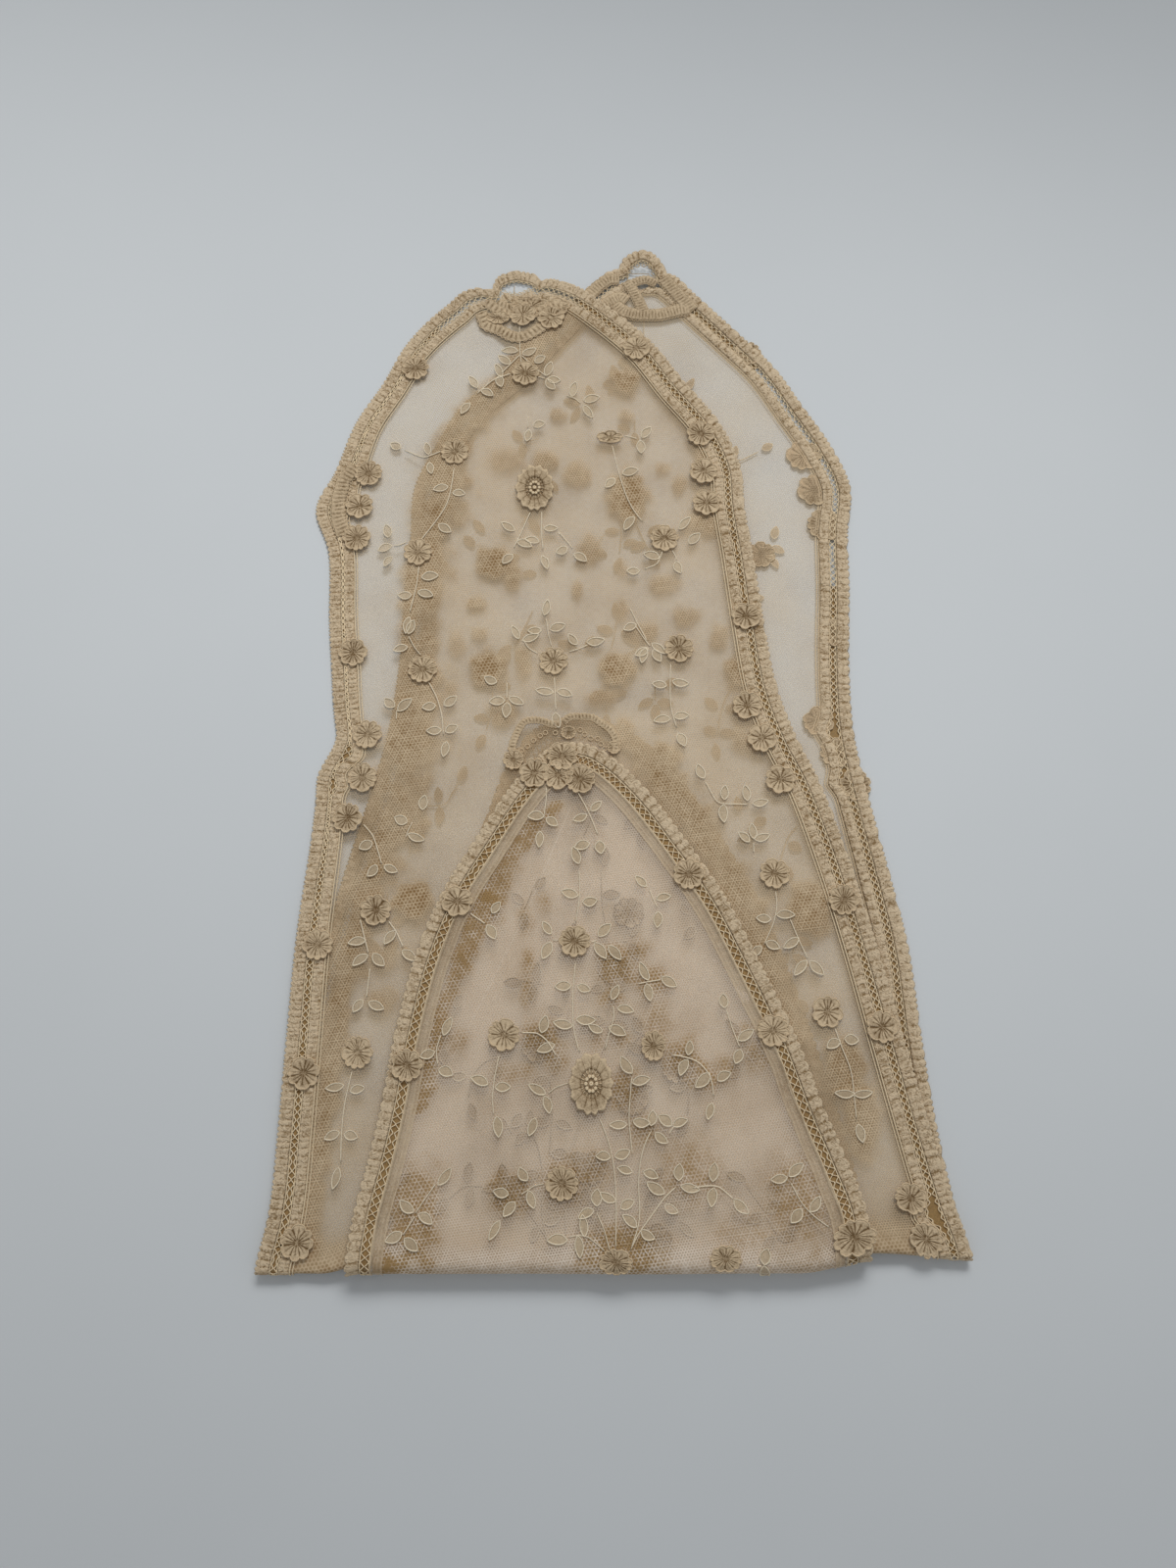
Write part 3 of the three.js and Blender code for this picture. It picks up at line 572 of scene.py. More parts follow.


# Patches of painted shade where lower layers lie below, in mm: x, y, half width, half height, depth.
SHADE_PATCHES = (
    (16, 12, 20, 12, 0.55), (97, 34, 17, 20, 0.4), (48, 44, 16, 16, 0.35), (72, 20, 18, 9, 0.25),
    (-80, 27, 12, 22, 0.6), (-93, 5, 10, 7, 0.7), (14, 140, 10, 10, 0.6), (18, 165, 8, 6, 0.22),
    (26, 148, 5, 6, 0.35), (31, 132, 8, 8, 0.5), (11, 125, 7, 5, 0.4), (33, 115, 8, 9, 0.35),
    (15, 105, 6, 6, 0.35), (44, 96, 10, 10, 0.5), (54, 88, 9, 7, 0.45), (64, 91, 7, 7, 0.35),
    (17, 82, 7, 10, 0.55), (75, 108, 6, 5, 0.3), (-16, 98, 7, 9, 0.45), (-23, 106, 9, 8, 0.6),
    (82, 98, 8, 9, 0.35), (-36, 36, 10, 10, 0.5), (-11, 42, 12, 12, 0.45), (26, 64, 9, 8, 0.4),
    (5, 104, 6, 7, 0.25), (-29, 127, 4, 8, 0.35), (-22, 171, 4, 6, 0.3), (-31, 163, 4, 8, 0.3),
    (-29, 141, 4, 6, 0.4), (-63, 104, 6, 7, 0.3), (-35, 90, 12, 5, 0.3), (2, 47, 9, 9, 0.4),
    (110, 169, 10, 13, 0.9), (-86, 172, 9, 9, 1.1), (122, 92, 10, 14, 0.7), (129, 68, 9, 20, 0.6),
    (-101, 144, 8, 6, 0.35), (-100, 124, 8, 6, 0.35), (21, 465, 8, 8, 0.9), (-52, 294, 9, 9, 1.0),
    (15, 294, 9, 9, 1.0), (66, 420, 8, 8, 0.6), (79, 293, 8, 8, 0.7), (22, 394, 10, 14, 1.0),
    (-23, 416, 7, 6, 0.6), (-6, 407, 8, 7, 0.5), (-16, 444, 5, 4, 0.6), (21, 443, 5, 3, 0.6),
    (-51, 355, 9, 9, 1.0), (-40, 347, 5, 8, 0.5), (1, 362, 6, 8, 0.5), (41, 411, 4, 4, 0.4),
    (50, 401, 4, 5, 0.4), (63, 378, 11, 6, 0.6), (-59, 331, 6, 3, 0.6), (-6, 339, 3, 5, 0.5),
    (40, 342, 8, 5, 0.5), (52, 324, 8, 5, 0.5), (-34, 297, 4, 10, 0.4), (7, 278, 8, 4, 0.5),
    (-44, 270, 8, 8, 0.4), (-93, 253, 12, 15, 0.9), (69, 312, 5, 7, 0.5), (39, 246, 8, 7, 0.7),
    (18, 259, 5, 8, 0.5), (30, 315, 7, 5, 0.4), (81, 255, 7, 8, 0.4), (18, 352, 3, 5, 0.4),
    (-57, 314, 5, 3, 0.5), (-69, 308, 5, 8, 0.3), (18, 327, 3, 7, 0.35), (-44, 416, 10, 7, 0.3),
    (-49, 172, 7, 7, 1.0),
)
# Bands of painted shade where the lower borders lie below, in mm: x, y and half width along each.
LONG_SHADE_BAND = ((-8, 509, 7), (-29, 488, 7), (-52, 459, 8), (-71, 435, 9), (-80, 402, 13), (-83, 385, 14),
             (-84, 369, 10), (-88, 345, 10), (-90, 323, 9), (-87, 289, 12), (-92, 252, 13), (-99, 210, 12),
             (-110, 179, 8), (-118, 150, 7), (-121, 115, 6), (-124, 78, 5), (-127, 43, 4), (-128, 13, 4))
SHORT_SHADE_BAND_LEFT = ((-15, 219, 4), (-27, 209, 5), (-43, 186, 6), (-49, 170, 7), (-58, 151, 5), (-63, 137, 5),
                   (-69, 119, 4), (-75, 96, 4), (-78, 74, 4))
SHORT_SHADE_BAND_RIGHT = ((27, 248, 5), (34, 241, 8), (49, 217, 10), (66, 191, 10), (77, 167, 9), (86, 140, 8),
                    (91, 119, 8), (98, 92, 7), (104, 65, 6))
SHADE_BAND_DEPTH = 0.88
LONG_SHADE_SHARES = (0.6, 0.6, 0.8, 3.0, 6.0)
CREASE_CLOSER = 4.5
NET_LIGHT = 0.95
# painted shade beside the crease and on the lower half under other layers
NET_CREASE_LOSS = 0.45
NET_CREASE_REACH = 10.0  # mm
NET_COVER_LOSS = 0.18
# Sharp creases left by storage, in mm on the upper half: from x, y, to x, y.
LONG_CREASES = ((-65.6, 228, -65.2, 268), (-127, 200, -113, 176), (-113, 176, -106, 150),
                (-106, 150, -100, 120), (13, 403, 60, 372))
LONG_GRID = (420, 110)  # rows and columns of places
long_net = make_net("long_net_ground", long_fall, *LONG_GRID, LONG_NET_FOLDS, LONG_CREASES,
                    (LONG_SHADE_BAND, SHORT_SHADE_BAND_LEFT, SHORT_SHADE_BAND_RIGHT), LONG_SHADE_SHARES, "long_net", net_cotton)

# The ground of the short fall: the same net, cut shorter and narrower. It is folded round the outside of the
# long fall at the same crease, so one half is the top layer and the other lies on the floor.
SHORT_NET_FOLDS = ((-79, 57, -60, 84, -0.5, 3.0), (30, 150, 75, 125, 0.6, 5.0), (75, 29, 91, 12, 0.6, 4.0),
                   (35, 30, 84, 25, 0.5, 3.0))
SHORT_CREASES = ((-110, 36, -62, 100), (-62, 100, -29, 168), (-29, 168, -9, 218), (45, 150, 70, 138))
SHORT_SHADE_SHARES = (1.8, 0.0, 0.0, 0.6, 3.0)
short_net_clean = (0.92, 0.795, 0.66, 1.0)
# toasted and shaded end: the net's own browning and the painted shade of folds and covered parts
short_net_toasted_and_shaded = (0.43, 0.275, 0.12, 1.0)
fine_net_cotton = net_material("fine_net_cotton", short_net_clean, short_net_toasted_and_shaded,
                               open_share=0.2, thread_share=0.53, shadow_share=0.05)
short_fall = Fall(crease=(-110.0, 129.0), upper=SHORT_UPPER, lower=SHORT_LOWER, lower_base=0.0,
                  upper_base=7.4, turn_radius=4.7, turn_axis=6.7)
SHORT_GRID = (260, 90)
short_net = make_net("short_net_ground", short_fall, *SHORT_GRID, SHORT_NET_FOLDS, SHORT_CREASES,
                     (SHORT_SHADE_BAND_LEFT,), SHORT_SHADE_SHARES, "short_net", fine_net_cotton)

# The tapes: narrow woven cotton drawn up on a thread into even gathers, with a scalloped, corded rim. The
# outer tape edges each fall, and a second one, sewn to the net, runs inside the ladder of the long fall.
TAPE_ACROSS = np.array([[0.0, 0.07, 0.18, 0.38, 0.6, 0.82, 1.0, 0.85, 0.5, 0.12]])  # shares of the width
TAPE_FACE_PLACES = 7  # over the face, and the rest back under it
TAPE_FACE = np.arange(TAPE_ACROSS.size)[None, :] < TAPE_FACE_PLACES
DOME_SPAN, DOME_START = 0.96, 0.02
DRIFT_WAVES = 6
DRIFT_SPREAD = 2.4
GATHER_STEP = 0.5  # mm between places along a tape
GATHER_POWER = 0.6
GATHER_WANDER = 1.3  # radians that the gathers drift along the border
FULLNESS_DRIFT = 0.25
CURL_MIDDLE = 0.35  # share of the width that a gather bends about
PITCH_FROM, PITCH_TO = -100.0, -45.0  # x between which the gathers widen
TAPE_MIDDLE = 0.9  # mm, middle of a tape's thickness
TAPE_BACK = 0.7  # depth of the back, as a share of the face's height
RIM_AT, RIM_WIDE = 0.08, 0.07  # shares of the width
RIM_CORD = 0.3  # mm
STITCHES_AT, STITCHES_WIDE = 0.95, 0.08
PUCKER_LINE = 0.3  # width of the line between gathers, as a cosine
PUCKER_AT, PUCKER_WIDE, PUCKER_LEAST = 0.55, 0.35, 0.4
TAPE_LIGHT, TONE_DRIFT, RIGHT_LOSS = 0.84, 0.14, 0.02
# painted shade: the rim's notch and the pucker loss darken the lines between gathers
RIM_GAIN, RIM_NOTCH, STITCH_GAIN, PUCKER_LOSS = 0.45, 0.7, 0.15, 0.75


def cotton(name, clean, toasted_and_shaded, roughness, crinkle):
    """A cotton material alone, without its parts."""
    return cotton_parts(name, clean, toasted_and_shaded, roughness, crinkle)[0]


def flat_places(x, v, n):
    """Flat places in one list, from x, v and n that may each be given by their changing side alone."""
    return np.stack(np.broadcast_arrays(x, v, n), axis=-1).reshape(-1, 3)


def drift(s, girth, turns, seed):
    """Slow change round a border that meets itself: a few sine waves of whole numbers of turns, from a third
    of those given up to all of them."""
    random = np.random.default_rng(seed)
    rates = random.integers(turns // 3, turns, DRIFT_WAVES)
    phases = random.uniform(0.0, 2 * np.pi, DRIFT_WAVES)
    waves = sum(np.sin(2 * np.pi * rate * s / girth + phase) for rate, phase in zip(rates, phases))
    return waves / DRIFT_SPREAD


def tape_dome(across):
    """Height across a tape: the square root of half a sine wave, cut a little short at both edges."""
    return np.sqrt(np.sin(np.pi * np.clip(across * DOME_SPAN + DOME_START, 0.0, 1.0)))


def gathered_tape(fall, start, width, pitches, curl, low, high, scallop, seed, opened=0.0):
    """Closed band carried round a fall's border. Its profile goes over the face in a dome and back under, and
    its gathers are the power 0.6 of a cosine's size along the border, bent by curl across the width; their
    pitch goes from that of the left side to that of the right. The rim steps in by scallop between gathers,
    less by the cube towards the other edge, and carries a cord. Returns places, quads and light."""
    across = TAPE_ACROSS
    s = np.linspace(0.0, fall.girth, round(fall.girth / GATHER_STEP), endpoint=False)[:, None]
    to_right = smooth_step((fall.at(fall.edge[:, 0], s) - PITCH_FROM) / (PITCH_TO - PITCH_FROM))
    turned = np.cumsum(1.0 / (pitches[0] + (pitches[1] - pitches[0]) * to_right))[:, None]
    gathers = round(turned[-1, 0] * GATHER_STEP)
    phase = np.pi * gathers * turned / turned[-1] + GATHER_WANDER * drift(s, fall.girth, gathers // 4, seed)
    fullness = 1.0 + FULLNESS_DRIFT * drift(s, fall.girth, gathers // 2, seed + 1)
    bent = phase + curl * (across - CURL_MIDDLE) ** 2
    gather = np.abs(np.cos(bent)) ** GATHER_POWER
    line = bell(np.cos(bent) / PUCKER_LINE)
    puff = tape_dome(across) * (low + (high - low) * gather * fullness)
    rim = bell((across - RIM_AT) / RIM_WIDE)
    n = TAPE_MIDDLE + np.where(TAPE_FACE, puff + RIM_CORD * rim, -TAPE_BACK * puff)
    x, v = fall.border(s, start + width * across + scallop * (1.0 - gather) * (1.0 - across) ** 3, opened)
    stitched = bell((across - STITCHES_AT) / STITCHES_WIDE)
    pucker = line * (PUCKER_LEAST + (1.0 - PUCKER_LEAST) * bell((across - PUCKER_AT) / PUCKER_WIDE))
    light = TAPE_LIGHT + TONE_DRIFT * drift(s, fall.girth, gathers, seed + 2) - RIGHT_LOSS * to_right
    # painted shade along the pucker lines between gathers, which also dulls the rim there
    light = light + RIM_GAIN * rim * (1.0 - RIM_NOTCH * line) + STITCH_GAIN * stitched - PUCKER_LOSS * pucker
    flat = flat_places(x, v, n)
    quads = lattice_faces(1, len(s), across.size, True, True)[:, ::-1]
    return fall.fold(flat), quads, fall.dim(flat, light.ravel())


OUTER_WIDTH = 6.9  # mm
INNER_START, INNER_WIDTH = 10.6, 5.4
tape_clean = (0.80, 0.64, 0.44, 1.0)
# toasted and shaded end: the tape's own browning and the painted shade of creases and covered parts
tape_toasted_and_shaded = (0.31, 0.20, 0.095, 1.0)
tape_cotton = cotton("tape_cotton", tape_clean, tape_toasted_and_shaded, roughness=0.85, crinkle=1.9)
tape = gathered_tape(long_fall, start=0.0, width=OUTER_WIDTH, pitches=(2.4, 4.2),
                     curl=0.9, low=0.3, high=0.62, scallop=1.3, seed=11)
long_outer_tape = make_piece("long_outer_tape_gathers", [tape], tape_cotton, "tape", ["long_outer_tape"])
tape = gathered_tape(long_fall, start=INNER_START, width=INNER_WIDTH, pitches=(2.5, 3.4),
                     curl=2.2, low=0.3, high=0.6, scallop=0.5, seed=23, opened=1.0)
long_inner_tape = make_piece("long_inner_tape_gathers", [tape], tape_cotton, "tape", ["long_inner_tape"])
tape = gathered_tape(short_fall, start=0.0, width=OUTER_WIDTH, pitches=(4.2, 4.8),
                     curl=0.9, low=0.3, high=0.5, scallop=1.7, seed=37)
short_outer_tape = make_piece("short_outer_tape_gathers", [tape], tape_cotton, "tape", ["short_outer_tape"])

# The short fall's hem: the edge of the net turned in twice and run down with rows of stitches, so that it is
# a smooth band, half see-through, with a few raised lines along it.
HEM_ACROSS = np.linspace(0.0, 1.0, 14)[None, :]
HEM_ROWS = ((0.07, 1.0), (0.6, 0.5), (0.92, 0.8))  # shares of the width, and strengths
HEM_ROW_WIDE = 0.05
HEM_START, HEM_WIDTH = 11.6, 5.8  # mm
HEM_HEIGHT, HEM_RIDGE = 1.45, 0.4
HEM_LIGHT, RIDGE_GAIN = 0.75, 0.45
HEM_WANDER, HEM_WAVE = (0.03, 60), (0.1, 90)  # size, and most turns round the border
HEM_SEED = 41


def stitched_hem(fall, start, width, seed):
    """Flat band round a border, with a narrow ridge along each row of stitches that wanders a little."""
    s = fall.stations[:, None]
    wander = HEM_WANDER[0] * drift(s, fall.girth, HEM_WANDER[1], seed)
    ridge = sum(strength * bell((HEM_ACROSS - row - wander) / HEM_ROW_WIDE) for row, strength in HEM_ROWS)
    n = HEM_HEIGHT + HEM_RIDGE * ridge + HEM_WAVE[0] * drift(s, fall.girth, HEM_WAVE[1], seed + 1)
    flat = flat_places(*fall.border(s, start + width * HEM_ACROSS), n)
    light = HEM_LIGHT + RIDGE_GAIN * ridge
    quads = lattice_faces(1, len(s), HEM_ACROSS.size, True, False)[:, ::-1]
    return fall.fold(flat), quads, fall.dim(flat, light.ravel())


def thin_cotton(name, clean, toasted_and_shaded, roughness, crinkle, weave, cover):
    """Cotton so thin that what lies below shows through. Its alpha is a fine noise, of features a metre,
    detail and gain, over a cover that starts at a value and rises with the light."""
    material, tree, shader, spot = cotton_parts(name, clean, toasted_and_shaded, roughness, crinkle)
    scale, detail, gain = weave
    start, rise = cover
    held = maths(tree, "MULTIPLY_ADD", attribute(tree, "light"), rise, start)
    woven = maths(tree, "MULTIPLY_ADD", noise(tree, spot, scale, detail), gain, held)
    tree.links.new(woven, shader.inputs["Alpha"])
    return material


hem_clean = (0.86, 0.70, 0.49, 1.0)
hem_cotton = thin_cotton("hem_cotton", hem_clean, net_toasted_and_shaded, roughness=0.88, crinkle=0.6,
                         weave=(500.0, 2.0, 0.4), cover=(-0.18, 0.6))
hem = stitched_hem(short_fall, HEM_START, HEM_WIDTH, HEM_SEED)
short_hem = make_piece("short_hem_band", [hem], hem_cotton, "tape", ["short_hem"])

# The ladders: between the tapes an open strip of twisted cotton threads. A straight cord runs along each
# side, and two threads go to and fro between them and meet in the middle, as in drawn-thread work.
THREAD_SIDES = 4
THREAD_LIGHT = 1.1
LADDER_START = 6.9  # mm from the outline
LADDER_LINES = (0.04, 0.5, 0.96)  # shares of the width: outer cord, middle, inner cord
LONG_LADDER, SHORT_LADDER = 3.7, 4.8  # mm wide
LONG_PITCH, SHORT_PITCH = 3.6, 4.0  # mm for each to and fro
CORD_STEP = 1.2
CORD_RADIUS, CORD_HEIGHT = 0.26, 1.35
ZIGZAG_RADIUS, ZIGZAG_HEIGHT = 0.37, 1.3
ZIGZAG_STEPS = 6  # places along each turn
ZIGZAG_ROUND = 0.96  # under 1, so that the turns are rounded
ZIGZAG_DRIFT, ZIGZAG_SEED = 0.35, 53


def full_turn(count):
    """Angles of one full turn in equal steps."""
    return np.linspace(0.0, 2 * np.pi, count, endpoint=False)


def border_thread(fall, w, n, radius, opened, sway=0.0, pitch=1.0, phase=0.0, step=CORD_STEP):
    """Closed thread round a border at the depth w: a round profile carried along the outline, that swings by
    sway to each side in a rounded zigzag of that pitch."""
    count = int(fall.girth / step)
    s = (np.arange(count) * fall.girth / count)[:, None]
    turns = round(fall.girth / pitch)
    swing = np.arcsin(ZIGZAG_ROUND * np.sin(2 * np.pi * turns * s / fall.girth + phase)) / (np.pi / 2)
    uneven = 1.0 + ZIGZAG_DRIFT * drift(s, fall.girth, turns // 3, ZIGZAG_SEED)
    angle = full_turn(THREAD_SIDES)[None, :]
    middle = fall.border(s, w + sway * swing * uneven, opened)
    x, v = (value + radius * np.cos(angle) * fall.at(fall.inward[:, k], s) for k, value in enumerate(middle))
    flat = flat_places(x, v, n + radius * np.sin(angle))
    return fall.fold(flat), lattice_faces(1, count, THREAD_SIDES, True, True), fall.dim(flat, THREAD_LIGHT)


def ladder_threads(fall, width, pitch):
    """The cords and zigzag threads of a ladder: what is outside its middle stays with the outer tape."""
    outer, middle, inner = (LADDER_START + share * width for share in LADDER_LINES)
    sway = (middle - outer) / 2
    step = pitch / ZIGZAG_STEPS
    return [
        border_thread(fall, outer, CORD_HEIGHT, CORD_RADIUS, 0.0),
        border_thread(fall, inner, CORD_HEIGHT, CORD_RADIUS, 1.0),
        border_thread(fall, outer + sway, ZIGZAG_HEIGHT, ZIGZAG_RADIUS, 0.0, sway, pitch, 0.0, step),
        border_thread(fall, inner - sway, ZIGZAG_HEIGHT, ZIGZAG_RADIUS, 1.0, sway, pitch, np.pi, step),
    ]


thread_clean = (0.94, 0.78, 0.54, 1.0)
# toasted and shaded end: the thread's own browning and the painted shade under other layers
thread_toasted_and_shaded = (0.38, 0.25, 0.12, 1.0)
thread_cotton = cotton("thread_cotton", thread_clean, thread_toasted_and_shaded, roughness=0.8, crinkle=0.5)
threads = ladder_threads(long_fall, LONG_LADDER, LONG_PITCH)
long_ladder = make_piece("long_ladder_threads", threads, thread_cotton, "ladder_thread", ["long_ladder"])
threads = ladder_threads(short_fall, SHORT_LADDER, SHORT_PITCH)
short_ladder = make_piece("short_ladder_threads", threads, thread_cotton, "ladder_thread", ["short_ladder"])

# The strips behind the ladders: where a ladder lies over other layers or beside the lower long point, a
# narrow brown see-through strip runs along behind it. It is painted shade: a dark sheet put there for the
# shadowed layers seen through the open work.
SHADE_STRIP_START = 6.6  # mm from the outline
SHADE_STRIP_LAP = 0.6  # mm that the strip is wider than its ladder
SHADE_STRIP_LANES = 3
SHADE_STRIP_STEP = 1.5
upper_point, left_crease, lower_point = long_fall.marks
# From and to, in mm round the border, then the height and the light.
LONG_STRIPS = ((4.0, upper_point - 45.0, 0.8, 0.85), (upper_point + 60.0, left_crease, 0.8, 0.9),
               (lower_point + 250.0, long_fall.girth - 4.0, 1.9, 0.95),
               (lower_point + 30.0, lower_point + 100.0, 1.9, 1.6))
SHORT_STRIPS = ((2.0, short_fall.marks[1] - 2.0, 0.8, 0.85),)


def border_strip(fall, width, first, last, n, light):
    """Flat strip along part of a border, between two lengths round it."""
    s = np.linspace(first, last, int((last - first) / SHADE_STRIP_STEP))[:, None]
    across = np.linspace(0.0, 1.0, SHADE_STRIP_LANES)[None, :]
    flat = flat_places(*fall.border(s, SHADE_STRIP_START + width * across, across), n)
    return fall.fold(flat), lattice_faces(1, len(s), SHADE_STRIP_LANES)[:, ::-1], light


# painted shade colours of the strip behind the ladders
ladder_shade_pale = (0.42, 0.27, 0.115, 1.0)
ladder_shade_dark = (0.34, 0.205, 0.09, 1.0)
ladder_shade_cotton = thin_cotton("ladder_shade_cotton", ladder_shade_pale, ladder_shade_dark, roughness=0.9, crinkle=0.3,
                             weave=(800.0, 1.0, 0.6), cover=(0.55, 0.0))
for tier, fall, ladder, strips in (("long", long_fall, LONG_LADDER, LONG_STRIPS),
                                   ("short", short_fall, SHORT_LADDER, SHORT_STRIPS)):
    parts = [border_strip(fall, ladder + SHADE_STRIP_LAP, *strip) for strip in strips]
    make_piece(f"{tier}_ladder_shade_strip", parts, ladder_shade_cotton, "net")

# The cords: two fine twisted cords couched along the inner edge of the long fall's inner tape, which hide its
# raw join to the net.
EDGE_CORDS = ((16.2, 1.5, 0.36), (17.6, 1.4, 0.3))  # depth, height, radius
make_piece("long_edge_cords", [border_thread(long_fall, *cord, 1.0) for cord in EDGE_CORDS], thread_cotton,
           "ladder_thread")

# The rosettes: flowers made of the same tape, drawn up tight on one edge so that it closes into a ring of
# petals. Each is sewn down through its middle, alone or in threes, on the borders and on the net.
ROSETTE_FACE = np.array([(0.0, 0.42), (0.1, 0.30), (0.18, 0.48), (0.28, 0.64), (0.45, 0.72), (0.64, 0.75),
                         (0.80, 0.82), (0.92, 1.0), (1.0, 0.85)])  # shares of radius and height
ROSETTE_UNDER = np.array([(0.95, 0.35), (0.0, 0.0)])
ROSETTE_TURNS = 120
ROSETTE_HEIGHT = 1.0
UNEVEN_LEAST, UNEVEN_MOST = 0.15, 0.4  # of the petals' widths
GROOVE_WIDE, CREASE_WIDE = 0.28, 0.25  # as cosines
GROOVE_DEPTH, CREASE_DEPTH = 0.45, 0.2  # shares of the height
PETAL_TWIST, TWIST_AT = 0.8, 0.4
PETAL_PULL, PETAL_ROUND, CREASE_PULL = 0.25, 0.8, 0.04  # how far the rim is drawn in
PETAL_LEAN = 0.18
CROWN_REACH = 0.3  # share of the radius at which the grooves are whole
KNOTS_AT, KNOTS_WIDE, KNOTS_LEAST = 0.17, 0.08, 0.55
LINES_FROM, LINES_REACH = 0.1, 0.15
BRIM_AT, BRIM_WIDE = 0.96, 0.1
CREASE_TO, CREASE_FADE = 0.85, 0.3
MIDDLE_WIDE = 0.12
ROSETTE_LIGHT, PETAL_TONE, BRIM_GAIN, BRIM_NOTCH = 0.8, 0.1, 0.4, 0.5
# painted shade: the losses in the creases and the middle hollow; the grooves darken too, less at the brim
CREASE_LOSS, KNOT_LOSS, MIDDLE_LOSS = 0.75, 0.9, 0.5
COVERED_LIGHT = 0.4  # least light of a flower under another layer
BACK_LOSS = 0.2  # light lost on a flower that is seen from the back
RIM_SHARE = 0.95  # share of the radius where the rim cord lies
RIM_RADIUS = 0.36
RIM_LIGHT = 1.35
ON_BORDER, ON_NET, ON_BACK = 1.6, 1.1, 1.9  # heights of a flower's seat over its sheet
UNEVEN_WAVES, TWIST_WAVES, TONE_WAVES = 2, 3, 5  # in a turn
SHORTEST = 1e-9  # mm: a shorter step along a path gives no direction


def drawn_in(share, pull):
    """Share of the radius once the rim is drawn in: less by pull times the cube of the share."""
    return share * (1.0 - pull * share**3)


def flat_threads(fall, paths, radius, sides, closed, light):
    """Round threads along many flat paths at once (threads by places by x, v, n). The profile stands square
    to the path in the sheet; open threads close to a point at both ends."""
    count, length = paths.shape[:2]
    if closed:
        along = np.roll(paths, -1, axis=1) - np.roll(paths, 1, axis=1)
    else:
        along = np.gradient(paths, axis=1)
    side = np.stack([-along[..., 1], along[..., 0], np.zeros((count, length))], axis=-1)
    side /= np.maximum(np.linalg.norm(side, axis=-1, keepdims=True), SHORTEST)
    up = np.array([0.0, 0.0, 1.0])
    angle = full_turn(sides)[None, None, :, None]
    thick = np.full(length, radius)
    if not closed:
        thick[[0, -1]] = 0.0
    thick = thick[None, :, None, None]
    flat = paths[:, :, None, :] + thick * (np.cos(angle) * side[:, :, None, :] + np.sin(angle) * up)
    flat = flat.reshape(-1, 3)
    return fall.fold(flat), lattice_faces(count, length, sides, closed, True), fall.dim(flat, light)


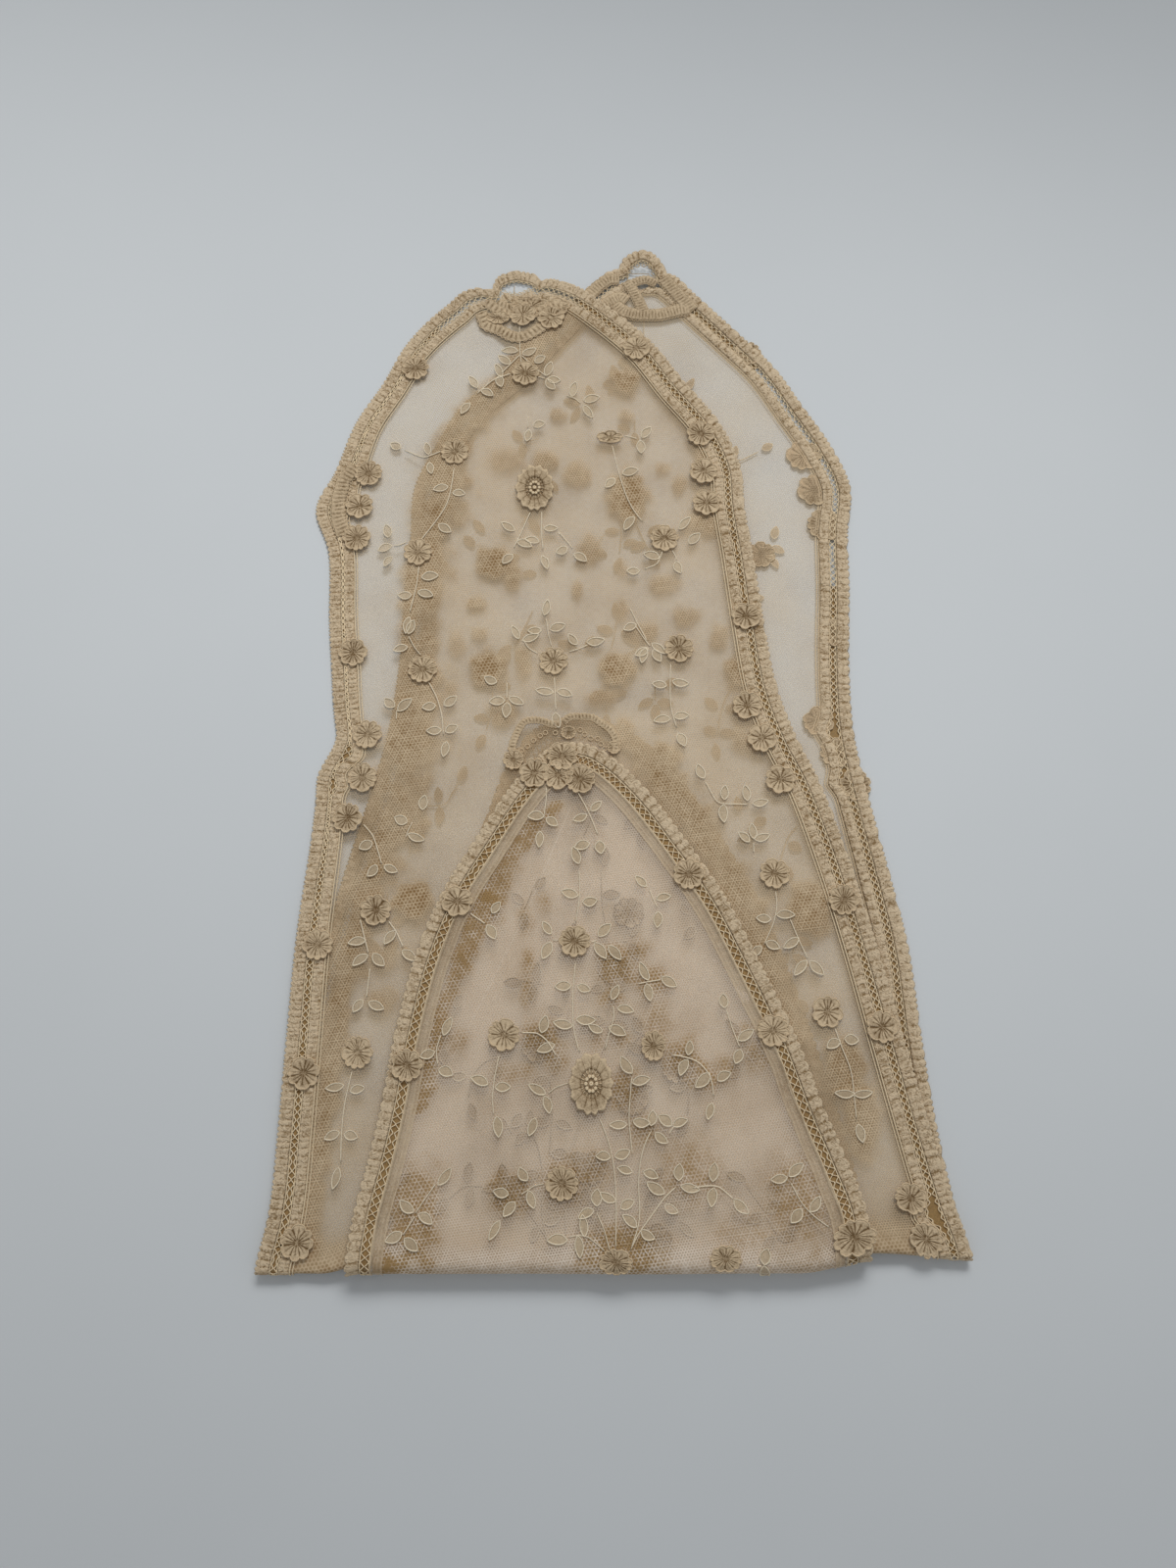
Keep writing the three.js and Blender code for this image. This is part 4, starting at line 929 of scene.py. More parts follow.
def rosettes(fall, places, half, seat, height, seed, fewest=7, most=11):
    """Closed flowers in one array, from rows of x, y, width and length in mm. A profile goes out over the
    crown to the rim and back below, turned round the middle. Narrow grooves, a bell curve of a cosine round
    the turn, part the petals, which have uneven widths and tones and a fine crease each; the rim is drawn in
    to each groove. A negative height puts the crown on the back. Returns the flowers and the cords round
    their rims."""
    places = np.asarray(places, dtype=float)
    count = len(places)
    random = np.random.default_rng(seed)
    profile = np.concatenate([ROSETTE_FACE, ROSETTE_UNDER])
    share, lift = profile[:, 0][None, None, :], profile[:, 1][None, None, :]
    is_face = (np.arange(len(profile)) < len(ROSETTE_FACE))[None, None, :]
    petals, start, uneven, tilt = (
        values[:, None, None] for values in (
            random.integers(fewest, most, count), random.uniform(0, 2 * np.pi, count),
            random.uniform(UNEVEN_LEAST, UNEVEN_MOST, count), random.uniform(0, 2 * np.pi, count)))
    turn = full_turn(ROSETTE_TURNS)[None, :, None]
    phase = petals * (turn + uneven * np.sin(UNEVEN_WAVES * turn + start) / 2) / 2 + start
    phase = phase + PETAL_TWIST * (share - TWIST_AT) * np.sin(TWIST_WAVES * turn + tilt)
    groove = bell(np.cos(phase) / GROOVE_WIDE)
    crease = bell(np.sin(phase) / CREASE_WIDE)
    pull = PETAL_PULL * (1.0 - np.abs(np.cos(phase)) ** PETAL_ROUND) + CREASE_PULL * crease
    lean = 1.0 + PETAL_LEAN * np.cos(turn - tilt) * share
    radius = drawn_in(share, pull)
    sunk = (GROOVE_DEPTH * groove + CREASE_DEPTH * crease) * smooth_step(share / CROWN_REACH)
    n = seat + height * np.where(is_face, lift * (1.0 - sunk) * lean, lift)
    x, v = fall.place(places[:, 0], places[:, 1], half)
    x, v, wide, tall = (values[:, None, None] for values in (x, v, places[:, 2] / 2, places[:, 3] / 2))
    knots = bell((share - KNOTS_AT) / KNOTS_WIDE) * (KNOTS_LEAST + (1.0 - KNOTS_LEAST) * np.cos(2 * phase))
    brim = bell((share - BRIM_AT) / BRIM_WIDE)
    inner_crease = crease * smooth_step((CREASE_TO - share) / CREASE_FADE)
    # painted shade in the grooves, the petal creases and the middle hollow
    lines = groove * (1.0 - BRIM_NOTCH * brim) + CREASE_LOSS * inner_crease
    lines = smooth_step((share - LINES_FROM) / LINES_REACH) * lines
    tone = PETAL_TONE * np.sin(UNEVEN_WAVES * turn + tilt) + PETAL_TONE * np.sin(TONE_WAVES * turn + start)
    light = ROSETTE_LIGHT + BRIM_GAIN * brim + tone - lines - KNOT_LOSS * knots
    light = (light - MIDDLE_LOSS * bell(share / MIDDLE_WIDE)).ravel()
    flat = flat_places(x + radius * np.cos(turn) * wide, v + radius * np.sin(turn) * tall, n)
    quads = lattice_faces(count, ROSETTE_TURNS, len(profile), True, False)
    if height < 0:
        quads = quads[:, ::-1]
        light = light - BACK_LOSS
    at_brim = len(ROSETTE_FACE) - 2
    pull, groove, crease = (values[:, :, at_brim:at_brim + 1] for values in (pull, groove, crease))
    edge = drawn_in(RIM_SHARE, pull)
    edge_lift = 1.0 - GROOVE_DEPTH * groove - CREASE_DEPTH * crease
    edge_lift = edge_lift * (1.0 + PETAL_LEAN * np.cos(turn - tilt))
    rims = np.concatenate([x + edge * np.cos(turn) * wide, v + edge * np.sin(turn) * tall,
                           seat + height * edge_lift], axis=-1)
    light = np.maximum(fall.dim(flat, light), np.minimum(light, COVERED_LIGHT))
    return [(fall.fold(flat), quads, light),
            flat_threads(fall, rims, RIM_RADIUS, THREAD_SIDES, True, RIM_LIGHT)]


FLOWER = 16.0  # mm across
# Places of the flowers, in mm: x and y, and where the size isn't the usual one, the width and length.
LONG_BORDER_FLOWERS = (
    (-97, 474), (-120, 408), (-124, 388.5), (-124.5, 369.5), (-123, 303.5), (-113, 258), (-114.5, 235),
    (-121, 214), (-132, 150.5), (-135, 89.5), (-133, 14), (27, 485), (62, 431), (63, 408), (64, 389),
    (83, 323), (82, 273.5), (89, 256), (97.5, 234), (126, 172.5), (141, 111), (149, 33), (154.5, 15.5),
    (-37, 508), (-21, 505),
)
LONG_GROUND_FLOWERS = (
    (-35, 469), (-73, 420), (-91, 360), (41, 368), (-86, 293.5), (-18, 298), (47.5, 305), (-104.5, 167.5),
    (92.5, 185.5), (-110, 99), (115, 118),
)
LONG_BACK_FLOWERS = (
    (90, 484, 16, 16), (118.5, 419.5, 20, 19), (123.5, 398.5, 20, 20), (128, 377.5, 20, 20),
    (130, 315, 16, 16), (119, 266, 17, 17), (127, 249, 17, 17), (136, 232, 17, 17), (93, 360, 16, 16),
)
LONG_COVERED_FLOWERS = ((20, 166), (12.5, 139), (-24, 102), (42.5, 92.5), (21, 78), (1, 47), (31, 15),
                        (-36, 36))
SHORT_BORDER_FLOWERS = ((-27, 236), (-13, 245), (-4, 233), (-15, 235), (-64, 171), (-85.5, 93),
                        (49.5, 184.5), (88, 109))
SHORT_GROUND_FLOWERS = ((-6.5, 151.5), (-40, 107), (-12, 40))
FLAT_BUD = ((12, 429, 15, 8),)
POINT_FLOWERS = ((-33, 514, 22, 14), (-18, 512, 15, 13), (-51, 507, 14, 9))
CREASE_FLOWER = ((120.5, 17, 21, 17),)
SMALL_FLOWERS = ((31, 102, 12, 15), (12.5, 6.5, 16, 12), (62, 8, 15, 12))
rosette_clean = (0.76, 0.60, 0.40, 1.0)
# toasted and shaded end: the tape's own browning and the painted shade of grooves and covered flowers
rosette_toasted_and_shaded = (0.19, 0.115, 0.05, 1.0)
rosette_cotton = cotton("rosette_cotton", rosette_clean, rosette_toasted_and_shaded, roughness=0.85, crinkle=0.8)
# Names of a piece and of its solids, its fall, then for each kind of flower in it the places, half, seat,
# height and seed, and the fewest and most petals where they aren't the usual ones.
ROSETTE_PIECES = (
    ("long_border_rosettes", "long_border_rosette_", long_fall,
     ((LONG_BORDER_FLOWERS, 1, ON_BORDER, ROSETTE_HEIGHT, 5),)),
    ("long_ground_rosettes", "long_ground_rosette_", long_fall,
     ((LONG_GROUND_FLOWERS + LONG_COVERED_FLOWERS, 1, ON_NET, ROSETTE_HEIGHT, 6),
      (FLAT_BUD, 1, ON_NET, ROSETTE_HEIGHT, 7, 4, 6), (POINT_FLOWERS, 1, ON_NET, 1.2, 19))),
    ("long_back_rosettes", "long_rosette_back_", long_fall,
     ((LONG_BACK_FLOWERS, -1, ON_BACK, -ROSETTE_HEIGHT, 8),)),
    ("short_border_rosettes", "short_border_rosette_", short_fall,
     ((SHORT_BORDER_FLOWERS, 1, ON_BORDER, ROSETTE_HEIGHT, 9),
      (CREASE_FLOWER, 1, ON_BORDER, ROSETTE_HEIGHT, 10))),
    ("short_ground_rosettes", "short_ground_rosette_", short_fall,
     ((SHORT_GROUND_FLOWERS, 1, ON_NET, ROSETTE_HEIGHT, 12), (SMALL_FLOWERS, 1, ON_NET, 0.9, 13))),
)
for name, solids, fall, kinds in ROSETTE_PIECES:
    parts = []
    for places, *kind in kinds:
        sized = [spot if len(spot) > 2 else (*spot, FLOWER, FLOWER) for spot in places]
        parts += rosettes(fall, sized, *kind)
    nodes = [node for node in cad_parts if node.startswith(solids) and not node.endswith("large")]
    make_piece(name, parts, rosette_cotton, "rosette", nodes, poles=True)

# The two large rosettes: a wide oval ring of gathered tape round a window of needle lace, which has a rim of
# fine bars, a ring of small eyelets and a round eyelet in the middle.
LARGE_FLOWERS = (("long", long_fall, (-29, 398, 21, 28)), ("short", short_fall, (1.5, 84.5, 21, 29)))
LARGE_PROFILE = np.array([(0.46, 0.2), (0.49, 0.6), (0.56, 0.75), (0.66, 0.78), (0.76, 0.8), (0.86, 0.86),
                          (0.93, 1.0), (1.0, 0.85), (0.97, 0.4), (0.75, 0.0), (0.5, 0.0)])
LARGE_TURNS = 168
LARGE_HEIGHT = 1.2
LARGE_PETALS = 14
LARGE_SEED = 17
WARP_WAVES = ((0.05, 3), (0.04, 5))  # size, and waves in a turn
WARP_START = 6  # radians, the most that a wave is shifted by
LARGE_GROOVE, LARGE_ROUND = 0.22, 0.6
PETAL_PLEATS = 4
GROOVES_FROM, GROOVES_REACH = 0.5, 0.4  # shares of the radius
LARGE_PULL, PLEAT_PULL = 0.15, 0.015
LARGE_DEPTH, PLEAT_HEIGHT, PLEATS_OVER = 0.5, 0.08, 0.5
LARGE_RIM_AT, LARGE_RIM_WIDE, LARGE_INNER_AT = 0.95, 0.07, 0.46
# painted light: pleats lighter where they are raised; painted shade in the grooves between petals
LARGE_LIGHT, LARGE_RIM_GAIN, PLEAT_GAIN = 0.7, 0.5, 0.12
LARGE_GROOVE_LOSS, LARGE_NOTCH, LARGE_INNER_LOSS = 0.65, 0.6, 0.4
GROUND_TURNS = 40
GROUND_SHARES = np.linspace(0.0, 0.55, 4)[None, :]
GROUND_LIFT, GROUND_LIGHT = 0.2, 0.4
BARS = 18
BAR_SHARES = np.linspace(0.3, 0.52, 4)[None, :]
BAR_LIFT, BAR_RADIUS, BAR_LIGHT = 0.5, 0.24, 0.7
RING_EYELETS, RING_SHARE = 10, 0.24
# Eyelets of the window: half width, half length, lift and radius of the cord.
SMALL_EYELET = (0.4, 0.46, 1.1, 0.45)
MIDDLE_EYELET = (0.55, 0.65, 1.2, 0.5)
EYELET_LIGHT = 1.6
OVAL_POINTS = 14


def on_oval(fall, place, share, turn):
    """Flat x and v on a large flower's oval, at a share of its half width and half length."""
    x0, y0, width, length = place
    x0, v0 = fall.place(x0, y0, 1)
    return x0 + share * np.cos(turn) * width / 2, v0 + share * np.sin(turn) * length / 2


def petal_ring(fall, place, seat, height, seed):
    """Closed oval ring of petals: a rounded profile turned round an oval, with the height and the rim falling
    between petals, as on the small flowers."""
    random = np.random.default_rng(seed)
    share, lift = LARGE_PROFILE[None, :, 0], LARGE_PROFILE[None, :, 1]
    turn = full_turn(LARGE_TURNS)[:, None]
    warped = turn
    for size, count in WARP_WAVES:
        warped = warped + size * np.sin(count * turn + random.uniform(0, WARP_START))
    phase = LARGE_PETALS * warped / 2
    groove = bell(np.cos(phase) / LARGE_GROOVE)
    pleat = np.cos(PETAL_PLEATS * phase)
    outer = smooth_step((share - GROOVES_FROM) / GROOVES_REACH)
    pull = LARGE_PULL * (1.0 - np.abs(np.cos(phase)) ** LARGE_ROUND) - PLEAT_PULL * pleat
    raised = PLEAT_HEIGHT * pleat * outer * (lift > PLEATS_OVER)
    n = seat + height * (lift * (1.0 - LARGE_DEPTH * groove * outer) + raised)
    x, v = on_oval(fall, place, drawn_in(share, pull), turn)
    rim = bell((share - LARGE_RIM_AT) / LARGE_RIM_WIDE)
    # painted light on the raised pleats and painted shade in the grooves
    light = LARGE_LIGHT + LARGE_RIM_GAIN * rim + PLEAT_GAIN * pleat * outer
    light = light - LARGE_GROOVE_LOSS * groove * (1.0 - LARGE_NOTCH * rim)
    light = light - LARGE_INNER_LOSS * bell((share - LARGE_INNER_AT) / LARGE_RIM_WIDE)
    flat = flat_places(x, v, n)
    quads = lattice_faces(1, LARGE_TURNS, len(LARGE_PROFILE), True, True)
    return fall.fold(flat), quads, fall.dim(flat, light.ravel())


def window_ground(fall, place, seat):
    """Oval of close net under a large flower's window, darker than the rest: a flat polar grid."""
    flat = flat_places(*on_oval(fall, place, GROUND_SHARES, full_turn(GROUND_TURNS)[:, None]), seat)
    return fall.fold(flat), lattice_faces(1, GROUND_TURNS, GROUND_SHARES.size, True, False), GROUND_LIGHT


def eyelets(fall, x, v, across, along, n, radius, light):
    """Oval rings of cord round flat places, all of one size."""
    turn = full_turn(OVAL_POINTS)[None, :]
    rings = flat_places(x[:, None] + across * np.cos(turn), v[:, None] + along * np.sin(turn), n)
    return flat_threads(fall, rings.reshape(len(x), -1, 3), radius, THREAD_SIDES, True, light)


def needle_lace(fall, place, seat):
    """Threads of a large flower's window: bars from rim to middle, a ring of eyelets and one in the
    middle."""
    bars = flat_places(*on_oval(fall, place, BAR_SHARES, full_turn(BARS)[:, None]), seat + BAR_LIFT)
    parts = [flat_threads(fall, bars.reshape(BARS, -1, 3), BAR_RADIUS, THREAD_SIDES, False, BAR_LIGHT)]
    for share, count, (across, along, lift, radius) in ((RING_SHARE, RING_EYELETS, SMALL_EYELET),
                                                        (0.0, 1, MIDDLE_EYELET)):
        x, v = on_oval(fall, place, share, full_turn(count))
        parts.append(eyelets(fall, x, v, across, along, seat + lift, radius, EYELET_LIGHT))
    return parts


for tier, fall, place in LARGE_FLOWERS:
    parts = [petal_ring(fall, place, ON_NET, LARGE_HEIGHT, LARGE_SEED),
             window_ground(fall, place, ON_NET + GROUND_LIFT)]
    make_piece(f"{tier}_large_rosette", parts, rosette_cotton, "rosette", [f"{tier}_ground_rosette_large"],
               poles=True)
    make_piece(f"{tier}_needle_lace", needle_lace(fall, place, ON_NET), thread_cotton, "rosette", poles=True)

# The points: lengths of tape are drawn across below each long point and at the left kink, and bars of thread
# cross the border's windows there, with a row of eyelets at the lower point. A wreath of narrow corded tape,
# with eyelets and small flowers, frames the short point. All are sewn to the tapes and the net.
RIBBON_STEP = 0.45
RIBBON_CURL = 0.9
RIBBON_LOW, RIBBON_RISE, RIBBON_BACK = 0.2, 0.35, 0.5
RIBBON_LIGHT, RIBBON_WIDE = 0.85, 0.35  # light, and the share of the width that the gathers darken
CORD_OUT, CORD_SWELL = 0.42, 0.14  # shares of the width from the middle to a cord
RIBBON_CORD = 0.3  # mm
EYELET = 1.15  # mm
BAR_STEP, POINT_BAR, POINT_BAR_LIGHT = 1.5, 0.25, 1.0
PATH_SPARE = 5  # places added to a path
EASE_PASSES = 3
# Lengths of tape: half, width, gather, then the seen places along the middle.
POINT_TAPES = (
    (1, 6.5, 2.9, ((-61, 511), (-58, 502), (-51, 499.5), (-43, 493.5), (-38, 492.5), (-33, 494.5),
                   (-24, 501), (-18, 508))),
    (1, 6.0, 3.3, ((-58, 518), (-51, 512), (-43, 508.5), (-35, 507), (-27, 510), (-20, 514), (-14, 513))),
    (1, 5.0, 2.5, ((-52, 517.5), (-46, 514), (-39, 514.5), (-32, 517))),
    (1, 8.0, 2.4, ((-127, 413), (-133.5, 404), (-135.5, 393), (-135, 381), (-131.5, 371))),
    (-1, 5.0, 2.0, ((22.9, 526.9), (27.4, 530.6), (33.5, 532.3), (39.5, 529.2))),
    (-1, 7.0, 2.0, ((0, 520.7), (5.4, 527), (11.5, 532), (18.1, 532.6))),
    (-1, 6.5, 1.9, ((6.6, 513.3), (12.6, 517.8), (18, 520.7), (22.8, 517.8))),
    (-1, 8.0, 2.0, ((42.5, 533.5), (47.1, 527.5), (52.3, 520.2), (59.7, 511))),
    (-1, 6.0, 1.9, ((21.5, 531), (25.5, 525), (28.5, 518.5), (31.5, 511))),
    (-1, 7.5, 1.9, ((14.5, 516), (20, 510.5), (27, 508.5), (34, 508.3), (41.6, 508.5), (50.2, 511.1),
                    (57.5, 512.5))),
)
WREATH_TAPES = (
    (1, 3.2, 1.9, ((-39.2, 248.3), (-38.2, 253.6), (-35.9, 259.6), (-32.8, 264.7), (-27.7, 265.5),
                   (-23.2, 264.7), (-19.3, 263), (-14.8, 262.6))),
    (1, 3.2, 1.9, ((-12.9, 263.6), (-9.8, 267), (-4, 267.1), (2.4, 266.7), (5.6, 264.3), (10.7, 261),
                   (13.9, 256.3), (14.8, 251.6), (13.8, 247.7))),
)
WREATH_EYELETS = ((-33.8, 248.7), (-30.8, 251), (-27.8, 254.2), (-24.4, 256.6), (-21.8, 258.3),
                  (-16.7, 258.2), (-4, 259.8), (-1.7, 257.4), (1.4, 255.3), (4.9, 255), (6.5, 252.3),
                  (8.4, 249.6))
FAN_EYELETS = ((21.8, 537.2), (24.8, 539.8), (28.4, 541.2), (32.2, 541.4), (36, 540.3), (39.4, 537.6),
               (42, 533.8))
# Threads across the windows: half, then the seen places along each.
POINT_BARS = (
    (1, ((-42, 528.5), (-42.6, 524), (-42.2, 518.5))),
    (1, ((-49, 524), (-46, 521), (-45, 518))),
    (-1, ((20, 539), (24, 536.4), (30, 537.2), (36, 536.6))),
    (-1, ((23, 537), (22.6, 531), (23.8, 522))),
    (-1, ((20.5, 531), (24.5, 530), (26, 529))),
    (-1, ((36, 538), (38.4, 534.4), (40, 531))),
    (-1, ((41, 528), (42, 524), (41, 519))),
)
WREATH_FLOWERS = ((-37.9, 244, 11, 11), (-10, 258.3, 8, 7), (13.2, 250.3, 7, 7))
WREATH_LIFT, WREATH_EYELET_LIFT, WREATH_FLOWER_HEIGHT, WREATH_SEED = 0.3, 0.5, 0.9, 31


def seen_path(fall, half, spots, n, ease, step=None, count=None):
    """Flat path through seen spots: a broken line cut again at even lengths, into count places or one for
    each step, and eased by the mean of each place and its neighbours, ease of them to each side."""
    x, v = fall.place(*np.array(spots, dtype=float).T, half)
    length = np.concatenate([[0.0], np.cumsum(np.hypot(np.diff(x), np.diff(v)))])
    even = np.linspace(0.0, length[-1], count or int(length[-1] / step) + PATH_SPARE)
    path = np.column_stack([np.interp(even, length, x), np.interp(even, length, v), np.full(len(even), n)])
    shifts = range(-ease, ease + 1)
    for _ in range(EASE_PASSES):
        path[ease:-ease] = sum(path[ease + k:len(path) - ease + k] for k in shifts) / len(shifts)
    return path


def ribbon(fall, half, width, pitch, spots, n):
    """A length of gathered tape along a path, with a cord on each edge. The profile goes over the face in a
    dome and back under, gathered as the border tapes are, and closes to a point at both ends."""
    path = seen_path(fall, half, spots, n, 2, step=RIBBON_STEP)
    along = np.gradient(path[:, :2], axis=0)
    along /= np.linalg.norm(along, axis=1, keepdims=True)
    side = np.column_stack([-along[:, 1], along[:, 0], np.zeros(len(path))])
    across = TAPE_ACROSS
    end = np.ones((len(path), 1))
    end[[0, -1]] = 0.0
    phase = np.pi * np.arange(len(path))[:, None] * RIBBON_STEP / pitch
    gather = np.abs(np.cos(phase + RIBBON_CURL * across**2)) ** GATHER_POWER
    puff = end * tape_dome(across) * (RIBBON_LOW + RIBBON_RISE * gather)
    flat = path[:, None, :] + (end * (across - 0.5) * width)[:, :, None] * side[:, None, :]
    flat[:, :, 2] += half * np.where(TAPE_FACE, puff, -RIBBON_BACK * puff)
    flat = flat.reshape(-1, 3)
    # painted shade between the gathers, across the middle of the tape
    light = (RIBBON_LIGHT - (1.0 - gather) * bell((across - 0.5) / RIBBON_WIDE)).ravel()
    swell = CORD_OUT + CORD_SWELL * np.abs(np.cos(phase))
    cords = np.stack([path + sign * swell * width * side for sign in (-1.0, 1.0)])
    quads = lattice_faces(1, len(path), across.size, False, True)[:, ::-half]
    return [(fall.fold(flat), quads, fall.dim(flat, light)),
            flat_threads(fall, cords, RIBBON_CORD, THREAD_SIDES, False, RIM_LIGHT)]


def seen_eyelets(fall, half, spots, n):
    """Round eyelets, all of one size, at seen places."""
    return eyelets(fall, *fall.place(*np.array(spots).T, half), EYELET, EYELET, n, RIBBON_CORD, RIM_LIGHT)


parts = []
for half, *row in POINT_TAPES:
    parts += ribbon(long_fall, half, *row, ON_BORDER if half > 0 else SLAB - ON_BORDER)
for half, spots in POINT_BARS:
    bar = seen_path(long_fall, half, spots, ON_BORDER, 2, step=BAR_STEP)[None]
    parts.append(flat_threads(long_fall, bar, POINT_BAR, THREAD_SIDES, False, POINT_BAR_LIGHT))
parts.append(seen_eyelets(long_fall, -1, FAN_EYELETS, 0.0))
make_piece("long_point_tapes", parts, rosette_cotton, "tape", poles=True)
parts = [part for row in WREATH_TAPES for part in ribbon(long_fall, *row, ON_NET + WREATH_LIFT)]
parts += rosettes(long_fall, WREATH_FLOWERS, 1, ON_NET, WREATH_FLOWER_HEIGHT, WREATH_SEED)
parts.append(seen_eyelets(long_fall, 1, WREATH_EYELETS, ON_NET + WREATH_EYELET_LIFT))
make_piece("long_wreath", parts, rosette_cotton, "rosette", poles=True)

# The sprigs: leaves and stems couched on the net. A stem is one fine cord; a leaf is a loop of the same cord
# laid round a scrap of close muslin. On the lower halves the same sprigs lie mirrored, and show dimly through
# the net.
LONG_SPRIGS = (
    (((-73, 411), (-74, 400), (-76, 388), (-82, 378), (-91, 365)), ((-70, 395), (-80, 398), (-77, 374))),
    (((-79, 421), (-90, 416), (-101, 422)), ((-88, 422), (-86, 410), (-106, 425))),
    (((-97, 366), (-101, 364), (-104, 364)), ((-108, 373), (-109, 363), (-107, 355))),
    (((-90, 352), (-91, 340), (-94, 325)), ((-97, 335), (-84, 346), (-86, 336), (-95, 318))),
    (((-39, 506), (-38.7, 496), (-38.2, 481), (-37, 474)), ((-44, 484), (-33, 483))),
    (((-38.2, 481), (-43, 475.4), (-48.6, 469)), ((-49, 464), (-47, 478))),
    (((-37.6, 481), (-30.2, 472.8), (-22.9, 467)), ((-21, 462), (-27, 478))),
    (((-43, 469), (-53, 465), (-62, 456)), ((-50, 471), (-64, 464), (-56, 457), (-68, 447))),
    (((13, 425), (16, 410), (20, 395), (24, 385), (30, 377)), ((12, 401), (23, 408), (22, 377))),
    (((-31, 384), (-36, 371), (-40, 362)), ((-43, 375), (-34, 365), (-43, 356))),
    (((-25, 384), (-25, 370), (-24, 361)), ((-20, 374), (-30, 367), (-23, 354))),
    (((40, 361), (37, 353), (30, 350)), ((34, 358), (24, 349))),
    (((45, 361), (47, 357), (47, 355)), ((57, 368), (52, 377), (48, 351))),
    (((-16, 372), (-11, 366), (-8, 362)), ((-4, 357), (-14, 361))),
    (((-19, 306), (-21, 314), (-22, 322)), ((-22, 328), (-28, 315), (-16, 317))),
    (((-10, 303), (-4, 305), (0, 307)), ((-8, 310), (4, 309))),
    (((-26, 302), (-31, 305), (-34, 310)), ((-30, 311), (-38, 314))),
    (((22, 328), (26, 319), (31, 309)), ((29, 301), (37, 305), (22, 317))),
    (((-33, 442), (-33, 438), (-33, 435)), ((-33, 430), (-27, 437))),
    (((20, 430), (24, 429), (27, 428)), ((32, 432), (29, 423))),
    (((-28, 467), (-25, 466), (-24, 466)), ((-19, 465), (-22, 472))),
    (((-12, 455), (-7, 453), (-4, 450)), ((-8, 459), (0, 445), (2, 453))),
    (((-87, 301), (-91, 306), (-94, 312)), ((-93, 317), (-98, 305))),
    (((-83, 287), (-78, 278), (-75, 268), (-74, 257)),
     ((-71, 276), (-82, 273), (-70, 261), (-79, 260), (-73, 250))),
    (((-98.5, 266), (-98.5, 269), (-98.5, 271)), ((-102.5, 275), (-94.6, 274))),
    (((-91, 204), (-90, 208), (-88, 212)), ((-94, 213), (-83, 222), (-86, 204))),
    (((-113, 211), (-107.5, 205), (-104, 195), (-102.5, 190)), ((-111, 200), (-107, 187), (-98, 188))),
    (((-42, 286), (-42, 281), (-42, 277)), ((-50.6, 287.5), (-42, 271), (-47, 276), (-37, 276))),
    (((-17.5, 289), (-17, 280), (-16.5, 270)), ((-22.5, 281), (-12, 280), (-16, 265))),
    (((43, 297), (42.5, 285), (42.5, 272.5), (45.6, 261)),
     ((48, 286), (37, 285), (48, 268), (38, 266), (48, 255))),
    (((25, 317.5), (29, 311), (32.5, 306)), ((28, 303), (36, 301))),
    (((59, 233), (60.6, 230), (65, 221), (81, 221)), ((57, 238), (69, 227), (68, 216), (80, 227), (87, 222))),
    (((82.5, 196), (82.5, 199), (82.5, 201)), ((78, 204), (87, 204), (82.5, 207))),
    (((92.5, 177), (93, 169), (91, 161), (85.6, 150)), ((97, 165), (86, 163), (90, 150), (82, 147))),
    (((99, 163), (103, 152), (107, 143)), ((103, 139), (111, 139), (99, 151))),
    (((118, 111), (121, 101), (125, 91), (126, 67.5)),
     ((117, 103), (126, 105), (121, 80), (130, 80), (127.5, 62))),
    (((-98, 162), (-94, 157), (-90, 149)), ((-97, 154), (-87, 145))),
    (((-112, 163), (-110, 156), (-107, 146)), ((-111, 143), (-102, 143), (-113, 152))),
    (((-106, 139), (-106.5, 131), (-107, 125)), ((-111, 121), (-102, 121))),
    (((-112, 91), (-115, 75), (-115.6, 60), (-115, 48)),
     ((-120, 83), (-109, 82), (-120, 61), (-111, 61), (-117, 42))),
)
